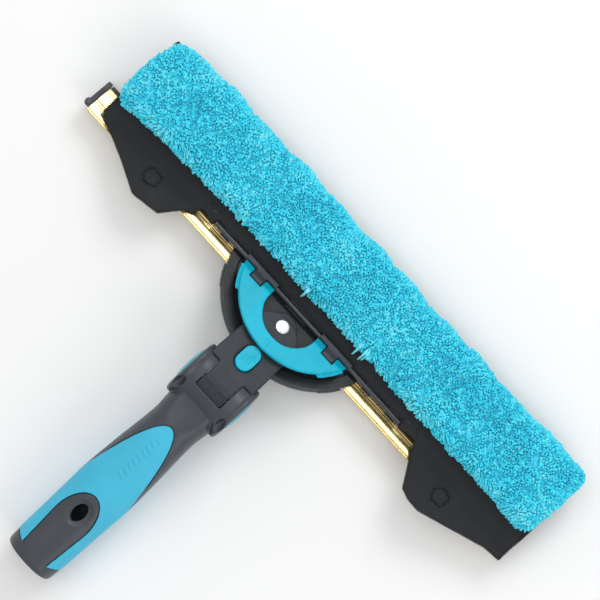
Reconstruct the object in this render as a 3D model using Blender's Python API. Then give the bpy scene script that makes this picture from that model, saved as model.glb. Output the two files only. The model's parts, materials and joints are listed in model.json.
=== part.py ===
"""Window cleaning squeegee with a tilting, swivelling head and a flip-up microfibre pad.

The tool lies as it does on a table: the rubber edge and the grip's end touch the floor, the head slopes down
to +Y and the grip slopes down to -Y. X runs along the channel. Sizes are in millimetres and are made metres
by the shape functions. "Head coordinates" have their origin on the swivel axis at the channel's top face, with
z along the swivel axis. "Grip coordinates" have their origin on the tilt axis, with the grip along -y. "Pad
coordinates" have their origin on the pad's rod, level with the world.
"""

import math

import bmesh
import bpy
from mathutils import Matrix, Vector

MM = 0.001
GAP = 0.3

HEAD_SLOPE = math.radians(26.0)
GRIP_SLOPE = math.radians(7.73)

# Tilt joint, in head coordinates
TILT_Y, TILT_Z = -50.7, -5.0
BARREL_RADIUS = 15.4
TONGUE_HALF = 9.8
ARM_RADIUS = 17.6
ARM_INNER, ARM_OUTER = TONGUE_HALF + GAP, 20.2
FORK_LIP = -2.9
SHOULDER_RADIUS = 18.0
TILT_PIN_RADIUS, TILT_PIN_HALF = 2.8, 15.2
BUTTON_RADIUS, BUTTON_IN, BUTTON_OUT = 12.6, 18.0, 21.5
BUTTON_TRAVEL = 2.0
SPRING_SEAT, SPRING_BORE = 12.0, 5.2

# Grip: distance from the tilt axis, half width, half height
GRIP_STATIONS = (
    (10.0, 16.6, 14.6),
    (18.0, 17.2, 14.8),
    (22.6, 15.8, 14.4),
    (29.4, 15.2, 14.2),
    (41.2, 15.7, 14.6),
    (58.2, 17.0, 15.8),
    (81.2, 18.2, 17.2),
    (103.2, 17.5, 17.0),
    (131.2, 16.9, 16.6),
    (144.2, 16.6, 16.4),
    (145.8, 15.8, 15.6),
)
GRIP_SQUARENESS = 2.3
GRIP_END = GRIP_STATIONS[-1][0]
RING_POINTS = 36
SKIN_THICKNESS = 1.7
PETAL_START, PETAL_FULL, PETAL_WIDTH, PETAL_POWER = 30.4, 79.6, 17.5, 0.52
SKIN_END, SKIN_BEYOND = 138.8, 26.0
WINDOW_START, WINDOW_WIDEST, WINDOW_HALF, WINDOW_FOOT = 89.1, 110.0, 12.0, 10.0
SOCKET_RADIUS, SOCKET_DEPTH = 12.2, 76.0
LOCK_HOLE_AT, LOCK_HOLE_HALF = 102.6, (3.9, 6.2)
DISH_RADIUS, DISH_TOP, DISH_DEPTH = 8.4, 17.0, 1.0

# Neck, in head coordinates
NECK_LOW, NECK_TOP = 4.4, 10.4
NECK_END_RADIUS, NECK_END_Y = 16.6, -10.4
NECK_WIDE_HALF, NECK_WIDE_Y = 17.5, -36.0
NECK_ROOT, NECK_PLATE_END, WEB_DROP = -33.2, -45.0, 4.0
BOSS_RADIUS, BOSS_LOW = 11.0, 2.6
SWIVEL_BUTTON_HALF, SWIVEL_BUTTON_Y = 5.5, (-37.4, -20.8)
SWIVEL_BUTTON_LOW, SWIVEL_BUTTON_TOP = 8.3, 11.6
POCKET_FLOOR = 6.0

# Head
DISC_CENTRE_Y, DISC_RADIUS = 30.0, 54.2
RIM_WIDTH = 5.7
PLATE_FLOOR, RIM_TOP, PLATE_FRONT = 2.3, 4.0, 13.9
SHELL_BOTTOM, SHELL_FRONT = -12.0, 22.0
SHELL_SECTIONS = ((0.0, 0.0), (-3.6, 0.0), (-6.6, 1.6), (SHELL_BOTTOM, 6.2))
RIB_OUT, RIB_AT, RIB_HALF = 1.4, 54.7, 9.8
BOLT_RADIUS, BOLT_HEAD_RADIUS, BOLT_HEAD_TOP = 2.6, 4.2, 11.6
WASHER_RADIUS, WASHER_TOP, WASHER_LOW = 8.0, -12.3, -13.2
NUT_RADIUS, NUT_LOW = 6.2, -16.4

# Clamp lever, in head coordinates
LEVER_CENTRE_Y, LEVER_RADIUS = 22.9, 43.4
LEVER_HOLE_Y, LEVER_HOLE_RADIUS = 7.6, 18.4
LEVER_AXIS_Y, LEVER_AXIS_Z, LEVER_BARREL = 12.4, 5.6, 1.95
LEVER_PIN_RADIUS = 1.0
TAB_FROM, TAB_TO, TAB_BACK = 26.0, 34.4, 7.6
TAB_SWING = 5.9
SKIRT_OUT, SKIRT_LOW, SKIRT_TOP = 1.8, 10.8, 12.0
SKIRT_FROM, SKIRT_TO = 50.0, 71.0

# Pad hinge, in head coordinates
ROD_Y, ROD_Z, ROD_RADIUS = 16.0, 5.2, 1.5
ROD_FROM, ROD_TO = -70.0, 86.0
KNUCKLE_FROM, KNUCKLE_TO = 18.8, 43.8

# Channel and rubber, in head coordinates
CHANNEL_FROM, CHANNEL_TO = -168.4, 174.8
CHANNEL_REAR, CHANNEL_FRONT, CHANNEL_DEEP = 6.5, 26.5, -6.0
RUBBER_Z, RUBBER_HALF = -3.0, 1.2
RUBBER_FRONT = 30.2
BEAD_Y, BEAD_RADIUS = 16.5, 2.2
CLIP_LENGTH, CLIP_FRONT = 3.3, 29.4

# Pad, in pad coordinates
PAD_FROM, PAD_TO = -165.0, 184.0
PAD_BACK, PAD_FRONT = 9.3, 59.6
STRIP_BACK = 2.9
PLATE_END = 51.9
PLATE_LOW, PLATE_TOP = -1.4, 0.6
FABRIC = 1.0
FLEECE_TOP = 13.0
HOOKS = (-64.0, -57.0), (-8.0, 8.0), (56.0, 63.0), (76.0, 83.0)

# Ears, in head coordinates: corners of each flap's outline
EAR_LOW = 1.2
LEFT_EAR = (
    (-160.0, 23.0), (-160.0, 12.7), (-151.0, 8.3), (-131.7, 0.7), (-114.9, -7.3), (-109.5, -7.0),
    (-96.3, -3.8), (-88.4, 7.6), (-83.2, 12.1), (-78.0, 20.3), (-78.0, 23.0),
)
RIGHT_EAR = (
    (94.6, 23.0), (94.6, 20.3), (99.8, 15.9), (108.3, 3.2), (115.7, -7.3), (121.0, -9.4),
    (128.8, -9.8), (142.5, -5.4), (172.0, 5.1), (182.0, 6.4), (182.0, 23.0),
)
SNAPS = {"left": (-113.4, 7.0), "right": (134.5, 5.0)}
SNAP_RADIUS, SNAP_TOP = 5.2, 4.0

CHARCOAL = (0.060, 0.062, 0.068)
DARK = (0.030, 0.031, 0.034)
AQUA = (0.045, 0.480, 0.720)
STEEL = (0.55, 0.56, 0.58)
BLACK = (0.010, 0.010, 0.011)
SIDE = Matrix(((0, 0, 1, 0), (1, 0, 0, 0), (0, 1, 0, 0), (0, 0, 0, 1)))


# ---------------------------------------------------------------- scene and shapes


def clear_scene():
    for obj in list(bpy.data.objects):
        bpy.data.objects.remove(obj, do_unlink=True)


def new_collection(name):
    made = bpy.data.collections.new(name)
    bpy.context.scene.collection.children.link(made)
    return made


def material(name, colour, roughness, metallic=0.0):
    made = bpy.data.materials.get(name) or bpy.data.materials.new(name)
    made.use_nodes = True
    shader = made.node_tree.nodes["Principled BSDF"]
    shader.inputs["Base Color"].default_value = (*colour, 1.0)
    shader.inputs["Roughness"].default_value = roughness
    shader.inputs["Metallic"].default_value = metallic
    return made


def mesh_object(name, bm):
    bmesh.ops.remove_doubles(bm, verts=bm.verts, dist=1e-6)
    bmesh.ops.recalc_face_normals(bm, faces=bm.faces)
    mesh = bpy.data.meshes.new(name)
    bm.to_mesh(mesh)
    bm.free()
    mesh.shade_smooth()
    mesh.set_sharp_from_angle(angle=math.radians(35))
    obj = bpy.data.objects.new(name, mesh)
    PARTS.objects.link(obj)
    return obj


def mesh_from_curve(name, curve, matrix):
    """A mesh object of the curve's shape, its caps welded."""
    guide = bpy.data.objects.new(name, curve)
    PARTS.objects.link(guide)
    graph = bpy.context.evaluated_depsgraph_get()
    mesh = bpy.data.meshes.new_from_object(guide.evaluated_get(graph))
    bpy.data.objects.remove(guide)
    bm = bmesh.new()
    bm.from_mesh(mesh)
    bpy.data.meshes.remove(mesh)
    bm.transform(matrix)
    return mesh_object(name, bm)


def slab(name, outline, low, high, rounding=0.0, side=False):
    """A flat outline made thick from low to high: along z, or along x where side is set and it lies in y, z."""
    curve = bpy.data.curves.new(name, "CURVE")
    curve.dimensions = "2D"
    curve.fill_mode = "BOTH"
    curve.extrude = ((high - low) / 2 - rounding) * MM
    curve.bevel_depth = rounding * MM
    curve.bevel_resolution = 1
    curve.offset = -rounding * MM
    spline = curve.splines.new("POLY")
    spline.points.add(len(outline) - 1)
    for point, (a, b) in zip(spline.points, outline):
        point.co = (a * MM, b * MM, 0.0, 1.0)
    spline.use_cyclic_u = True
    lift = Matrix.Translation((0, 0, (low + high) / 2 * MM))
    return mesh_from_curve(name, curve, SIDE @ lift if side else lift)


def box(name, x, y, z):
    bm = bmesh.new()
    bmesh.ops.create_cube(bm, size=1.0)
    middle = Vector([sum(pair) / 2 for pair in (x, y, z)]) * MM
    size = [abs(pair[1] - pair[0]) * MM for pair in (x, y, z)]
    bm.transform(Matrix.Translation(middle) @ Matrix.Diagonal((*size, 1.0)))
    return mesh_object(name, bm)


def rod(name, radius, start, end, segments=24, end_radius=None):
    """A straight round bar between two points, or a cone where end_radius is given."""
    a, b = Vector(start) * MM, Vector(end) * MM
    bm = bmesh.new()
    bmesh.ops.create_cone(
        bm,
        cap_ends=True,
        segments=segments,
        radius1=radius * MM,
        radius2=(radius if end_radius is None else end_radius) * MM,
        depth=(b - a).length,
    )
    turn = (b - a).to_track_quat("Z", "Y").to_matrix().to_4x4()
    bm.transform(Matrix.Translation((a + b) / 2) @ turn)
    return mesh_object(name, bm)


def turned(name, profile, segments=32):
    """A round piece about z from (radius, z) pairs that run from the top to the bottom of its outer side."""
    bm = bmesh.new()
    verts = [bm.verts.new((radius * MM, 0, z * MM)) for radius, z in profile]
    for a, b in zip(verts, verts[1:]):
        bm.edges.new((a, b))
    bmesh.ops.spin(
        bm,
        geom=bm.verts[:] + bm.edges[:],
        axis=(0, 0, 1),
        cent=(0, 0, 0),
        angle=math.tau,
        steps=segments,
        use_merge=True,
    )
    return mesh_object(name, bm)


def loft(name, rings):
    """A closed body through rings with equal numbers of points, each end capped."""
    bm = bmesh.new()
    rows = [[bm.verts.new(Vector(point) * MM) for point in ring] for ring in rings]
    count = len(rows[0])
    for row, after in zip(rows, rows[1:]):
        for i in range(count):
            j = (i + 1) % count
            bm.faces.new((row[i], row[j], after[j], after[i]))
    bm.faces.new(rows[0])
    bm.faces.new(rows[-1])
    return mesh_object(name, bm)


def coil(name, wire, radius, start, length, turns, along_x):
    """A round-wire compression spring with its axis along x or z."""
    curve = bpy.data.curves.new(name, "CURVE")
    curve.dimensions = "3D"
    curve.bevel_depth = wire * MM
    curve.bevel_resolution = 1
    curve.use_fill_caps = True
    steps = int(turns * 10)
    spline = curve.splines.new("POLY")
    spline.points.add(steps)
    for i, point in enumerate(spline.points):
        angle = math.tau * turns * i / steps
        rise = wire + (length - 2 * wire) * i / steps
        at = Vector((radius * math.cos(angle), radius * math.sin(angle), rise))
        if along_x:
            at = Vector((at.z, at.x, at.y))
        point.co = (*((at + Vector(start)) * MM), 1.0)
    return mesh_from_curve(name, curve, Matrix())


def boolean(obj, other, operation):
    """Applies the other shape to obj. It stays as a hidden child, so it moves with obj."""
    step = obj.modifiers.new(other.name, "BOOLEAN")
    step.operation = operation
    step.object = other
    other.parent = obj
    PARTS.objects.unlink(other)
    CUTTERS.objects.link(other)
    other.hide_render = True
    other.display_type = "WIRE"
    return obj


def cut(obj, *others):
    for other in others:
        boolean(obj, other, "DIFFERENCE")
    return obj


def join(obj, *others):
    for other in others:
        boolean(obj, other, "UNION")
    return obj


def keep(obj, other):
    return boolean(obj, other, "INTERSECT")


def arc(centre, radius, start, end, steps):
    """Points on a circle between two angles in degrees."""
    angles = [math.radians(start + (end - start) * i / steps) for i in range(steps + 1)]
    return [(centre[0] + radius * math.cos(a), centre[1] + radius * math.sin(a)) for a in angles]


def circle(centre, radius, steps=24):
    return arc(centre, radius, 0, 360, steps)[:-1]


def stadium(half_width, low, high, steps=8):
    """A slot shape along y between two ends."""
    top = arc((0, high - half_width), half_width, 0, 180, steps)
    return top + arc((0, low + half_width), half_width, 180, 360, steps)


def mirrored(points):
    """The outline whose right half is given from its first point on the middle line to its last."""
    left = [(-x, y) for x, y in reversed(points) if abs(x) > 1e-6]
    return list(points) + left


# ---------------------------------------------------------------- frames


def empty(name, parent, location, slope=0.0):
    made = bpy.data.objects.new(name, None)
    PARTS.objects.link(made)
    made.parent = parent
    made.location = Vector(location) * MM
    made.rotation_euler = (slope, 0, 0)
    return made


def attach(obj, axis, origin, look):
    """Gives a finished piece its material and hangs it on its joint's empty, which lies at origin."""
    obj.data.materials.clear()
    obj.data.materials.append(look)
    obj.parent = axis
    obj.location = -Vector(origin) * MM
    return obj


# ---------------------------------------------------------------- grip


def grip_ring(distance, half_width, half_height):
    power = 2.0 / GRIP_SQUARENESS
    ring = []
    for i in range(RING_POINTS):
        angle = math.tau * (i + 0.5) / RING_POINTS
        c, s = math.cos(angle), math.sin(angle)
        x = half_width * math.copysign(abs(c) ** power, c)
        z = half_height * math.copysign(abs(s) ** power, s)
        ring.append((x, -distance, z))
    return ring


def grip_body(name, inset=0.0, overrun=0.0):
    """The grip's outer form, or that form shrunk by inset and made longer by overrun at each end."""
    stations = [(d, w - inset, h - inset) for d, w, h in GRIP_STATIONS]
    if inset:
        stations[-1] = (stations[-1][0] + overrun, *stations[-2][1:])
    return loft(name, [grip_ring(*station) for station in stations])


def petal_half(distance):
    return PETAL_WIDTH * ((distance - PETAL_START) / (PETAL_FULL - PETAL_START)) ** PETAL_POWER


def window_half(distance):
    if distance < WINDOW_WIDEST:
        part = (WINDOW_WIDEST - distance) / (WINDOW_WIDEST - WINDOW_START)
        return WINDOW_HALF * math.sqrt(1 - part * part)
    part = (distance - WINDOW_WIDEST) / (SKIN_END - WINDOW_WIDEST)
    return WINDOW_HALF + (WINDOW_FOOT - WINDOW_HALF) * part


def skin_outline(grow=0.0):
    """Plan of the soft skin: a petal that widens to the grip's sides, and two legs around the window."""
    steps = 10
    right = [(0.0, -PETAL_START + grow)]
    for i in range(1, steps + 1):
        distance = PETAL_START + (PETAL_FULL - PETAL_START) * (i / steps) ** 2
        right.append((petal_half(distance) + grow, -distance))
    right.append((SKIN_BEYOND, -PETAL_FULL - 2 + grow))
    right.append((SKIN_BEYOND, -SKIN_END + 4 - grow))
    right.append((WINDOW_FOOT - grow, -SKIN_END - grow))
    for i in range(steps + 1):
        distance = SKIN_END + (WINDOW_START - SKIN_END) * math.sin(math.pi / 2 * i / steps)
        right.append((max(window_half(distance) - grow, 0.0), -distance - grow))
    right[-1] = (0.0, -WINDOW_START - grow)
    return mirrored(right)


def make_grip_skin(axis):
    skin = slab("grip_skin", skin_outline(), -30, 30)
    keep(skin, grip_body("skin_outside"))
    cut(skin, grip_body("skin_inside", SKIN_THICKNESS, 10.0))
    attach(skin, axis, (0, 0, 0), material("soft_aqua", AQUA, 0.62))


def fork_room_side():
    """Side view of the space between the arms: round behind the barrel and open to the front."""
    clearance, reach = BARREL_RADIUS + GAP, 40.0
    edge = math.degrees(math.acos(FORK_LIP / clearance))
    return [(reach, reach), (FORK_LIP, reach)] + arc((0, 0), clearance, edge, 360 - edge, 24) + [
        (FORK_LIP, -reach), (reach, -reach)]


def make_grip_core(axis):
    core = grip_body("grip_core")
    join(core, rod("fork_disc", ARM_RADIUS, (-ARM_OUTER, 0, 0), (ARM_OUTER, 0, 0), 40))
    recess = slab("skin_recess", skin_outline(GAP), -30, 30)
    cut(recess, grip_body("recess_inside", SKIN_THICKNESS + GAP, 10.0))
    cut(core, recess)
    cut(core, slab("fork_room", fork_room_side(), -ARM_INNER, ARM_INNER, 0, True))
    cut(core, rod("tilt_bore", TILT_PIN_RADIUS + GAP, (-30, 0, 0), (30, 0, 0)))
    for way in (-1, 1):
        pocket = BUTTON_IN - BUTTON_TRAVEL - GAP
        cut(core, rod("button_pocket", BUTTON_RADIUS + GAP, (way * pocket, 0, 0), (way * 30, 0, 0), 32))
        cut(core, rod("spring_pocket", SPRING_BORE, (way * SPRING_SEAT, 0, 0), (way * 30, 0, 0)))
    socket_end = GRIP_END - SOCKET_DEPTH
    cut(core, rod("pole_socket", SOCKET_RADIUS, (0, -GRIP_END - 5, 0), (0, -socket_end, 0), 32))
    across, along = LOCK_HOLE_HALF
    hole = [(across * x, -LOCK_HOLE_AT + along * y) for x, y in circle((0, 0), 1.0, 20)]
    cut(core, slab("lock_hole", hole, 0, 40))
    dish = rod("hole_dish", DISH_RADIUS - 3, (0, -LOCK_HOLE_AT, DISH_TOP - DISH_DEPTH),
               (0, -LOCK_HOLE_AT, DISH_TOP + 3), 24, DISH_RADIUS + 2)
    cut(core, dish)
    attach(core, axis, (0, 0, 0), material("charcoal_plastic", CHARCOAL, 0.55))


def make_tilt_buttons(axis, button_axes):
    aqua = material("aqua_plastic", AQUA, 0.40)
    steel = material("steel", STEEL, 0.30, 1.0)
    for side, way in (("left", -1), ("right", 1)):
        disc = [(0.0, BUTTON_OUT), (BUTTON_RADIUS - 5, BUTTON_OUT), (BUTTON_RADIUS - 1.2, BUTTON_OUT - 0.7),
                (BUTTON_RADIUS, BUTTON_OUT - 1.8), (BUTTON_RADIUS, BUTTON_IN), (0.0, BUTTON_IN)]
        button = turned(f"tilt_button_{side}", disc, 40)
        button.data.transform(Matrix.Rotation(way * math.pi / 2, 4, "Y"))
        attach(button, button_axes[side], (0, 0, 0), aqua)
        length = BUTTON_IN - SPRING_SEAT - 2 * GAP
        start = SPRING_SEAT + GAP if way > 0 else -SPRING_SEAT - GAP - length
        spring = coil(f"tilt_spring_{side}", 0.45, 4.2, (start, 0, 0), length, 3.5, True)
        attach(spring, axis, (0, 0, 0), steel)
    pin = rod("tilt_pin", TILT_PIN_RADIUS, (-TILT_PIN_HALF, 0, 0), (TILT_PIN_HALF, 0, 0))
    attach(pin, axis, (0, 0, 0), steel)


# ---------------------------------------------------------------- neck


def neck_outline():
    right = [(NECK_WIDE_HALF, NECK_PLATE_END), (NECK_WIDE_HALF, NECK_WIDE_Y), (NECK_END_RADIUS, -18.0)]
    right += arc((0, NECK_END_Y), NECK_END_RADIUS, 0, 90, 12)
    return mirrored(right)


def tongue_side():
    """Side view of the barrel and the web that joins it to the neck's plate."""
    under = TILT_Z - WEB_DROP
    low = -math.degrees(math.asin(WEB_DROP / BARREL_RADIUS))
    barrel = arc((TILT_Y, TILT_Z), BARREL_RADIUS, 90, 360 + low, 36)
    return [(NECK_ROOT, NECK_TOP - 0.1)] + barrel + [(NECK_ROOT - 2.6, under), (NECK_ROOT, NECK_LOW + 1.0)]


def shoulder_side():
    """Side view of a shoulder, hollow where the fork's arm swings past it."""
    top, room = NECK_TOP - 0.3, SHOULDER_RADIUS + GAP
    start = math.degrees(math.asin((top - TILT_Z) / room))
    end = math.degrees(math.acos((NECK_ROOT - 0.2 - TILT_Y) / room))
    return [(NECK_ROOT, top)] + arc((TILT_Y, TILT_Z), room, start, end, 8) + [(NECK_ROOT, -1.0)]


def make_neck(axis):
    neck = slab("neck", neck_outline(), NECK_LOW, NECK_TOP, 1.0)
    for way in (-1, 1):
        inner, outer = way * (TONGUE_HALF + 0.1), way * 30
        cut(neck, rod("arm_room", SHOULDER_RADIUS, (inner, TILT_Y, TILT_Z), (outer, TILT_Y, TILT_Z), 40))
        cut(neck, box("arm_room_behind", (inner, outer), (TILT_Y - 30, TILT_Y + 2), (-40, 40)))
        ends = sorted((way * (TONGUE_HALF - 2), way * (NECK_WIDE_HALF - 0.4)))
        join(neck, slab("shoulder", shoulder_side(), *ends, 0, True))
    join(neck, slab("tongue", tongue_side(), -TONGUE_HALF, TONGUE_HALF, 0, True))
    bore = rod("neck_tilt_bore", TILT_PIN_RADIUS + GAP, (-30, TILT_Y, TILT_Z), (30, TILT_Y, TILT_Z))
    cut(neck, bore)
    join(neck, rod("neck_boss", BOSS_RADIUS, (0, 0, BOSS_LOW), (0, 0, NECK_LOW + 1), 32))
    cut(neck, rod("bolt_bore", BOLT_RADIUS + GAP, (0, 0, -10), (0, 0, 30)))
    pocket = stadium(SWIVEL_BUTTON_HALF + GAP, SWIVEL_BUTTON_Y[0] - GAP, SWIVEL_BUTTON_Y[1] + GAP)
    cut(neck, slab("button_pocket_neck", pocket, POCKET_FLOOR, 20))
    attach(neck, axis, (0, TILT_Y, TILT_Z), material("charcoal_plastic", CHARCOAL, 0.55))


def make_swivel_button(axis, neck_axis):
    low, high = SWIVEL_BUTTON_Y
    outline = stadium(SWIVEL_BUTTON_HALF, low, high)
    button = slab("swivel_button", outline, SWIVEL_BUTTON_LOW, SWIVEL_BUTTON_TOP, 0.9)
    middle = ((low + high) / 2, SWIVEL_BUTTON_LOW)
    attach(button, axis, (0, *middle), material("aqua_plastic", AQUA, 0.40))
    length = SWIVEL_BUTTON_LOW - POCKET_FLOOR - 2 * GAP
    spring = coil("swivel_button_spring", 0.3, 3.0, (0, middle[0], POCKET_FLOOR + GAP), length, 2.0, False)
    attach(spring, neck_axis, (0, TILT_Y, TILT_Z), material("steel", STEEL, 0.30, 1.0))


# ---------------------------------------------------------------- head


def disc_outline(inset, front, steps=36):
    """A round-backed plate whose straight front edge lies at y = front."""
    radius = DISC_RADIUS - inset
    lean = math.degrees(math.asin((DISC_CENTRE_Y - front) / radius))
    return arc((0, DISC_CENTRE_Y), radius, 180 + lean, 360 - lean, steps)


def make_front_plate(axis):
    plate = slab("head_front_plate", disc_outline(0.0, PLATE_FRONT), GAP, RIM_TOP, 0.4)
    recess = slab("plate_recess", disc_outline(RIM_WIDTH, PLATE_FRONT + 8), PLATE_FLOOR, 20)
    cut(plate, recess, rod("plate_bore", BOLT_RADIUS + GAP, (0, 0, -10), (0, 0, 30)))
    attach(plate, axis, (0, 0, 0), material("dark_plastic", DARK, 0.50))


def make_back_shell(axis):
    rings = []
    for z, inset in SHELL_SECTIONS:
        rings.append([(x, y, z) for x, y in disc_outline(inset, SHELL_FRONT - inset)])
    shell = loft("head_back_shell", rings)
    for way in (-1, 1):
        low, high = 270 + way * RIB_AT - RIB_HALF, 270 + way * RIB_AT + RIB_HALF
        centre = (0, DISC_CENTRE_Y)
        outside = arc(centre, DISC_RADIUS + RIB_OUT, low, high, 8)
        inside = arc(centre, DISC_RADIUS - 2, high, low, 8)
        join(shell, slab("finger_rib", outside + inside, -3.4, -0.4))
    slot = box("channel_room", (-90, 90), (CHANNEL_REAR - GAP, 60), (CHANNEL_DEEP - GAP, 10))
    cut(shell, slot, rod("shell_bore", BOLT_RADIUS + GAP, (0, 0, -30), (0, 0, 30)))
    attach(shell, axis, (0, 0, 0), material("charcoal_plastic", CHARCOAL, 0.55))


def make_bolt(axis):
    steel = material("steel", STEEL, 0.30, 1.0)
    under = NECK_TOP + GAP
    end = NUT_LOW + 1.2
    profile = [(0.0, BOLT_HEAD_TOP), (BOLT_HEAD_RADIUS - 0.8, BOLT_HEAD_TOP), (BOLT_HEAD_RADIUS, under + 0.3),
               (BOLT_HEAD_RADIUS, under), (BOLT_RADIUS, under), (BOLT_RADIUS, end), (0.0, end)]
    attach(turned("swivel_bolt", profile, 32), axis, (0, 0, 0), steel)
    bore = BOLT_RADIUS + GAP
    washer = rod("swivel_washer", WASHER_RADIUS, (0, 0, WASHER_LOW), (0, 0, WASHER_TOP), 32)
    cut(washer, rod("washer_bore", bore, (0, 0, -40), (0, 0, 0)))
    attach(washer, axis, (0, 0, 0), steel)
    nut = rod("tension_nut", NUT_RADIUS, (0, 0, NUT_LOW), (0, 0, WASHER_LOW - GAP), 6)
    cut(nut, rod("nut_bore", bore, (0, 0, -40), (0, 0, 0)))
    attach(nut, axis, (0, 0, 0), steel)


def lever_side():
    """Section of the clamp lever in y, z: its flat back, its bend and the barrel on its hinge pins."""
    barrel = arc((LEVER_AXIS_Y, LEVER_AXIS_Z), LEVER_BARREL, 60, -140, 12)
    return [(-22.0, 15.1), (7.4, 13.3)] + barrel + [(4.6, 11.0), (-22.0, 12.5)]


def lever_plan():
    front = 30.0
    lean = math.degrees(math.asin((LEVER_CENTRE_Y - 15.6) / LEVER_RADIUS))
    outside = arc((0, LEVER_CENTRE_Y), LEVER_RADIUS, 180 + lean, 360 - lean, 40)
    right = [(LEVER_RADIUS, front), (LEVER_HOLE_RADIUS, front)]
    inside = arc((0, LEVER_HOLE_Y), LEVER_HOLE_RADIUS, 0, -180, 24)
    left = [(-LEVER_HOLE_RADIUS, front), (-LEVER_RADIUS, front)]
    return outside + right + inside + left


def make_lever(axis):
    lever = slab("clamp_lever", lever_plan(), -5, 25)
    keep(lever, slab("lever_section", lever_side(), -60, 60, 0, True))
    centre = (0, LEVER_CENTRE_Y)
    for way in (-1, 1):
        start, end = 270 + way * SKIRT_FROM, 270 + way * SKIRT_TO
        outer = arc(centre, LEVER_RADIUS + SKIRT_OUT, start, end, 10)
        inner = arc(centre, LEVER_RADIUS - 1.6, end, start, 10)
        join(lever, slab("finger_skirt", outer + inner, SKIRT_LOW, SKIRT_TOP))
        notch = (way * (TAB_FROM - GAP), way * (TAB_TO + GAP))
        cut(lever, box("tab_notch", notch, (LEVER_AXIS_Y - TAB_SWING, 30), (-10, 30)))
    for way in (-1, 1):
        ends = (way * 19.6, LEVER_AXIS_Y, LEVER_AXIS_Z), (way * 60, LEVER_AXIS_Y, LEVER_AXIS_Z)
        cut(lever, rod("lever_pin_bore", LEVER_PIN_RADIUS + 0.25, *ends, 16))
    attach(lever, axis, (0, LEVER_AXIS_Y, LEVER_AXIS_Z), material("aqua_plastic", AQUA, 0.40))


def make_lever_pins(axis):
    steel = material("steel", STEEL, 0.30, 1.0)
    for side, way in (("left", -1), ("right", 1)):
        ends = (way * 20.0, LEVER_AXIS_Y, LEVER_AXIS_Z), (way * 41.4, LEVER_AXIS_Y, LEVER_AXIS_Z)
        attach(rod(f"lever_pin_{side}", LEVER_PIN_RADIUS, *ends, 16), axis, (0, 0, 0), steel)


def make_brackets(axis):
    dark = material("charcoal_plastic", CHARCOAL, 0.55)
    foot = PLATE_FLOOR + GAP
    clip = [(14.7, foot), (18.0, foot), (18.4, 3.2), (18.4, 6.9), (17.6, 7.8), (15.4, 7.8), (14.7, 7.3)]
    tab = [(TAB_BACK, foot), (15.2, foot), (15.2, 6.6), (14.7, 7.0), (10.2, 9.9), (9.0, 9.7), (TAB_BACK, 8.4)]
    for side, way in (("left", -1), ("right", 1)):
        low, high = sorted((way * KNUCKLE_FROM, way * KNUCKLE_TO))
        bracket = slab(f"pad_bracket_{side}", clip, low, high, 0, True)
        axis_line = (low - 5, ROD_Y, ROD_Z), (high + 5, ROD_Y, ROD_Z)
        cut(bracket, rod("rod_bore", ROD_RADIUS + GAP, *axis_line, 24))
        cut(bracket, box("rod_mouth", (low - 5, high + 5), (10, ROD_Y), (3.7, 6.7)))
        low, high = sorted((way * TAB_FROM, way * TAB_TO))
        post = slab("bracket_tab", tab, low, high, 0, True)
        cut(post, rod("tab_rod_bore", ROD_RADIUS + GAP, *axis_line, 24))
        join(bracket, post)
        pin_line = (low - 5, LEVER_AXIS_Y, LEVER_AXIS_Z), (high + 5, LEVER_AXIS_Y, LEVER_AXIS_Z)
        cut(bracket, rod("tab_pin_bore", LEVER_PIN_RADIUS + 0.25, *pin_line, 16))
        attach(bracket, axis, (0, 0, 0), dark)


# ---------------------------------------------------------------- channel and rubber


def channel_section():
    """Rear bead, groove, band, ridge and broad face, with a keyhole slot that opens to the front."""
    top = [(CHANNEL_REAR, -1.4), (7.0, -0.3), (8.0, 0.0), (8.3, -0.7), (8.9, -0.7), (9.2, 0.0), (12.6, 0.0),
           (12.9, -0.8), (14.0, -0.8), (14.3, -0.1), (14.8, -0.1), (15.0, -0.8), (15.6, -0.8), (15.9, 0.0),
           (CHANNEL_FRONT, 0.0)]
    half = RUBBER_HALF + GAP
    bore = arc((BEAD_Y, RUBBER_Z), BEAD_RADIUS + GAP, 37, 323, 16)
    upper = [(CHANNEL_FRONT, RUBBER_Z + half)]
    lower = [(CHANNEL_FRONT, RUBBER_Z - half)]
    floor = [(CHANNEL_FRONT, CHANNEL_DEEP), (8.0, CHANNEL_DEEP), (CHANNEL_REAR, -4.6)]
    return top + upper + bore + lower + floor


def make_channel(axis):
    channel = slab("channel", channel_section(), CHANNEL_FROM, CHANNEL_TO, 0, True)
    attach(channel, axis, (0, 0, 0), material("brass", (0.83, 0.62, 0.22), 0.25, 1.0))
    bead = arc((BEAD_Y, RUBBER_Z), BEAD_RADIUS, 33, 327, 14)
    front = [(RUBBER_FRONT, RUBBER_Z - RUBBER_HALF), (RUBBER_FRONT, RUBBER_Z + RUBBER_HALF)]
    rubber = slab("rubber_blade", bead + front, CHANNEL_FROM + GAP, CHANNEL_TO - GAP, 0, True)
    attach(rubber, axis, (0, 0, 0), material("rubber", (0.012, 0.012, 0.013), 0.55))


def make_end_clips(axis):
    dark = material("dark_plastic", DARK, 0.50)
    profile = [(CHANNEL_REAR, 0.5), (CHANNEL_REAR, -5.6), (CLIP_FRONT, -5.6), (CLIP_FRONT, 0.1),
               (CLIP_FRONT - 0.6, 0.5)]
    for side, way, face in (("left", -1, CHANNEL_FROM), ("right", 1, CHANNEL_TO)):
        inner, outer = face + way * GAP, face + way * (GAP + CLIP_LENGTH)
        clip = slab(f"end_clip_{side}", profile, *sorted((inner, outer)), 0, True)
        knob_x = (inner + outer) / 2
        join(clip, rod("clip_knob", 1.6, (knob_x, 9.3, -2), (knob_x, 9.3, 0.9), 20))
        attach(clip, axis, (0, 0, 0), dark)


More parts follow.
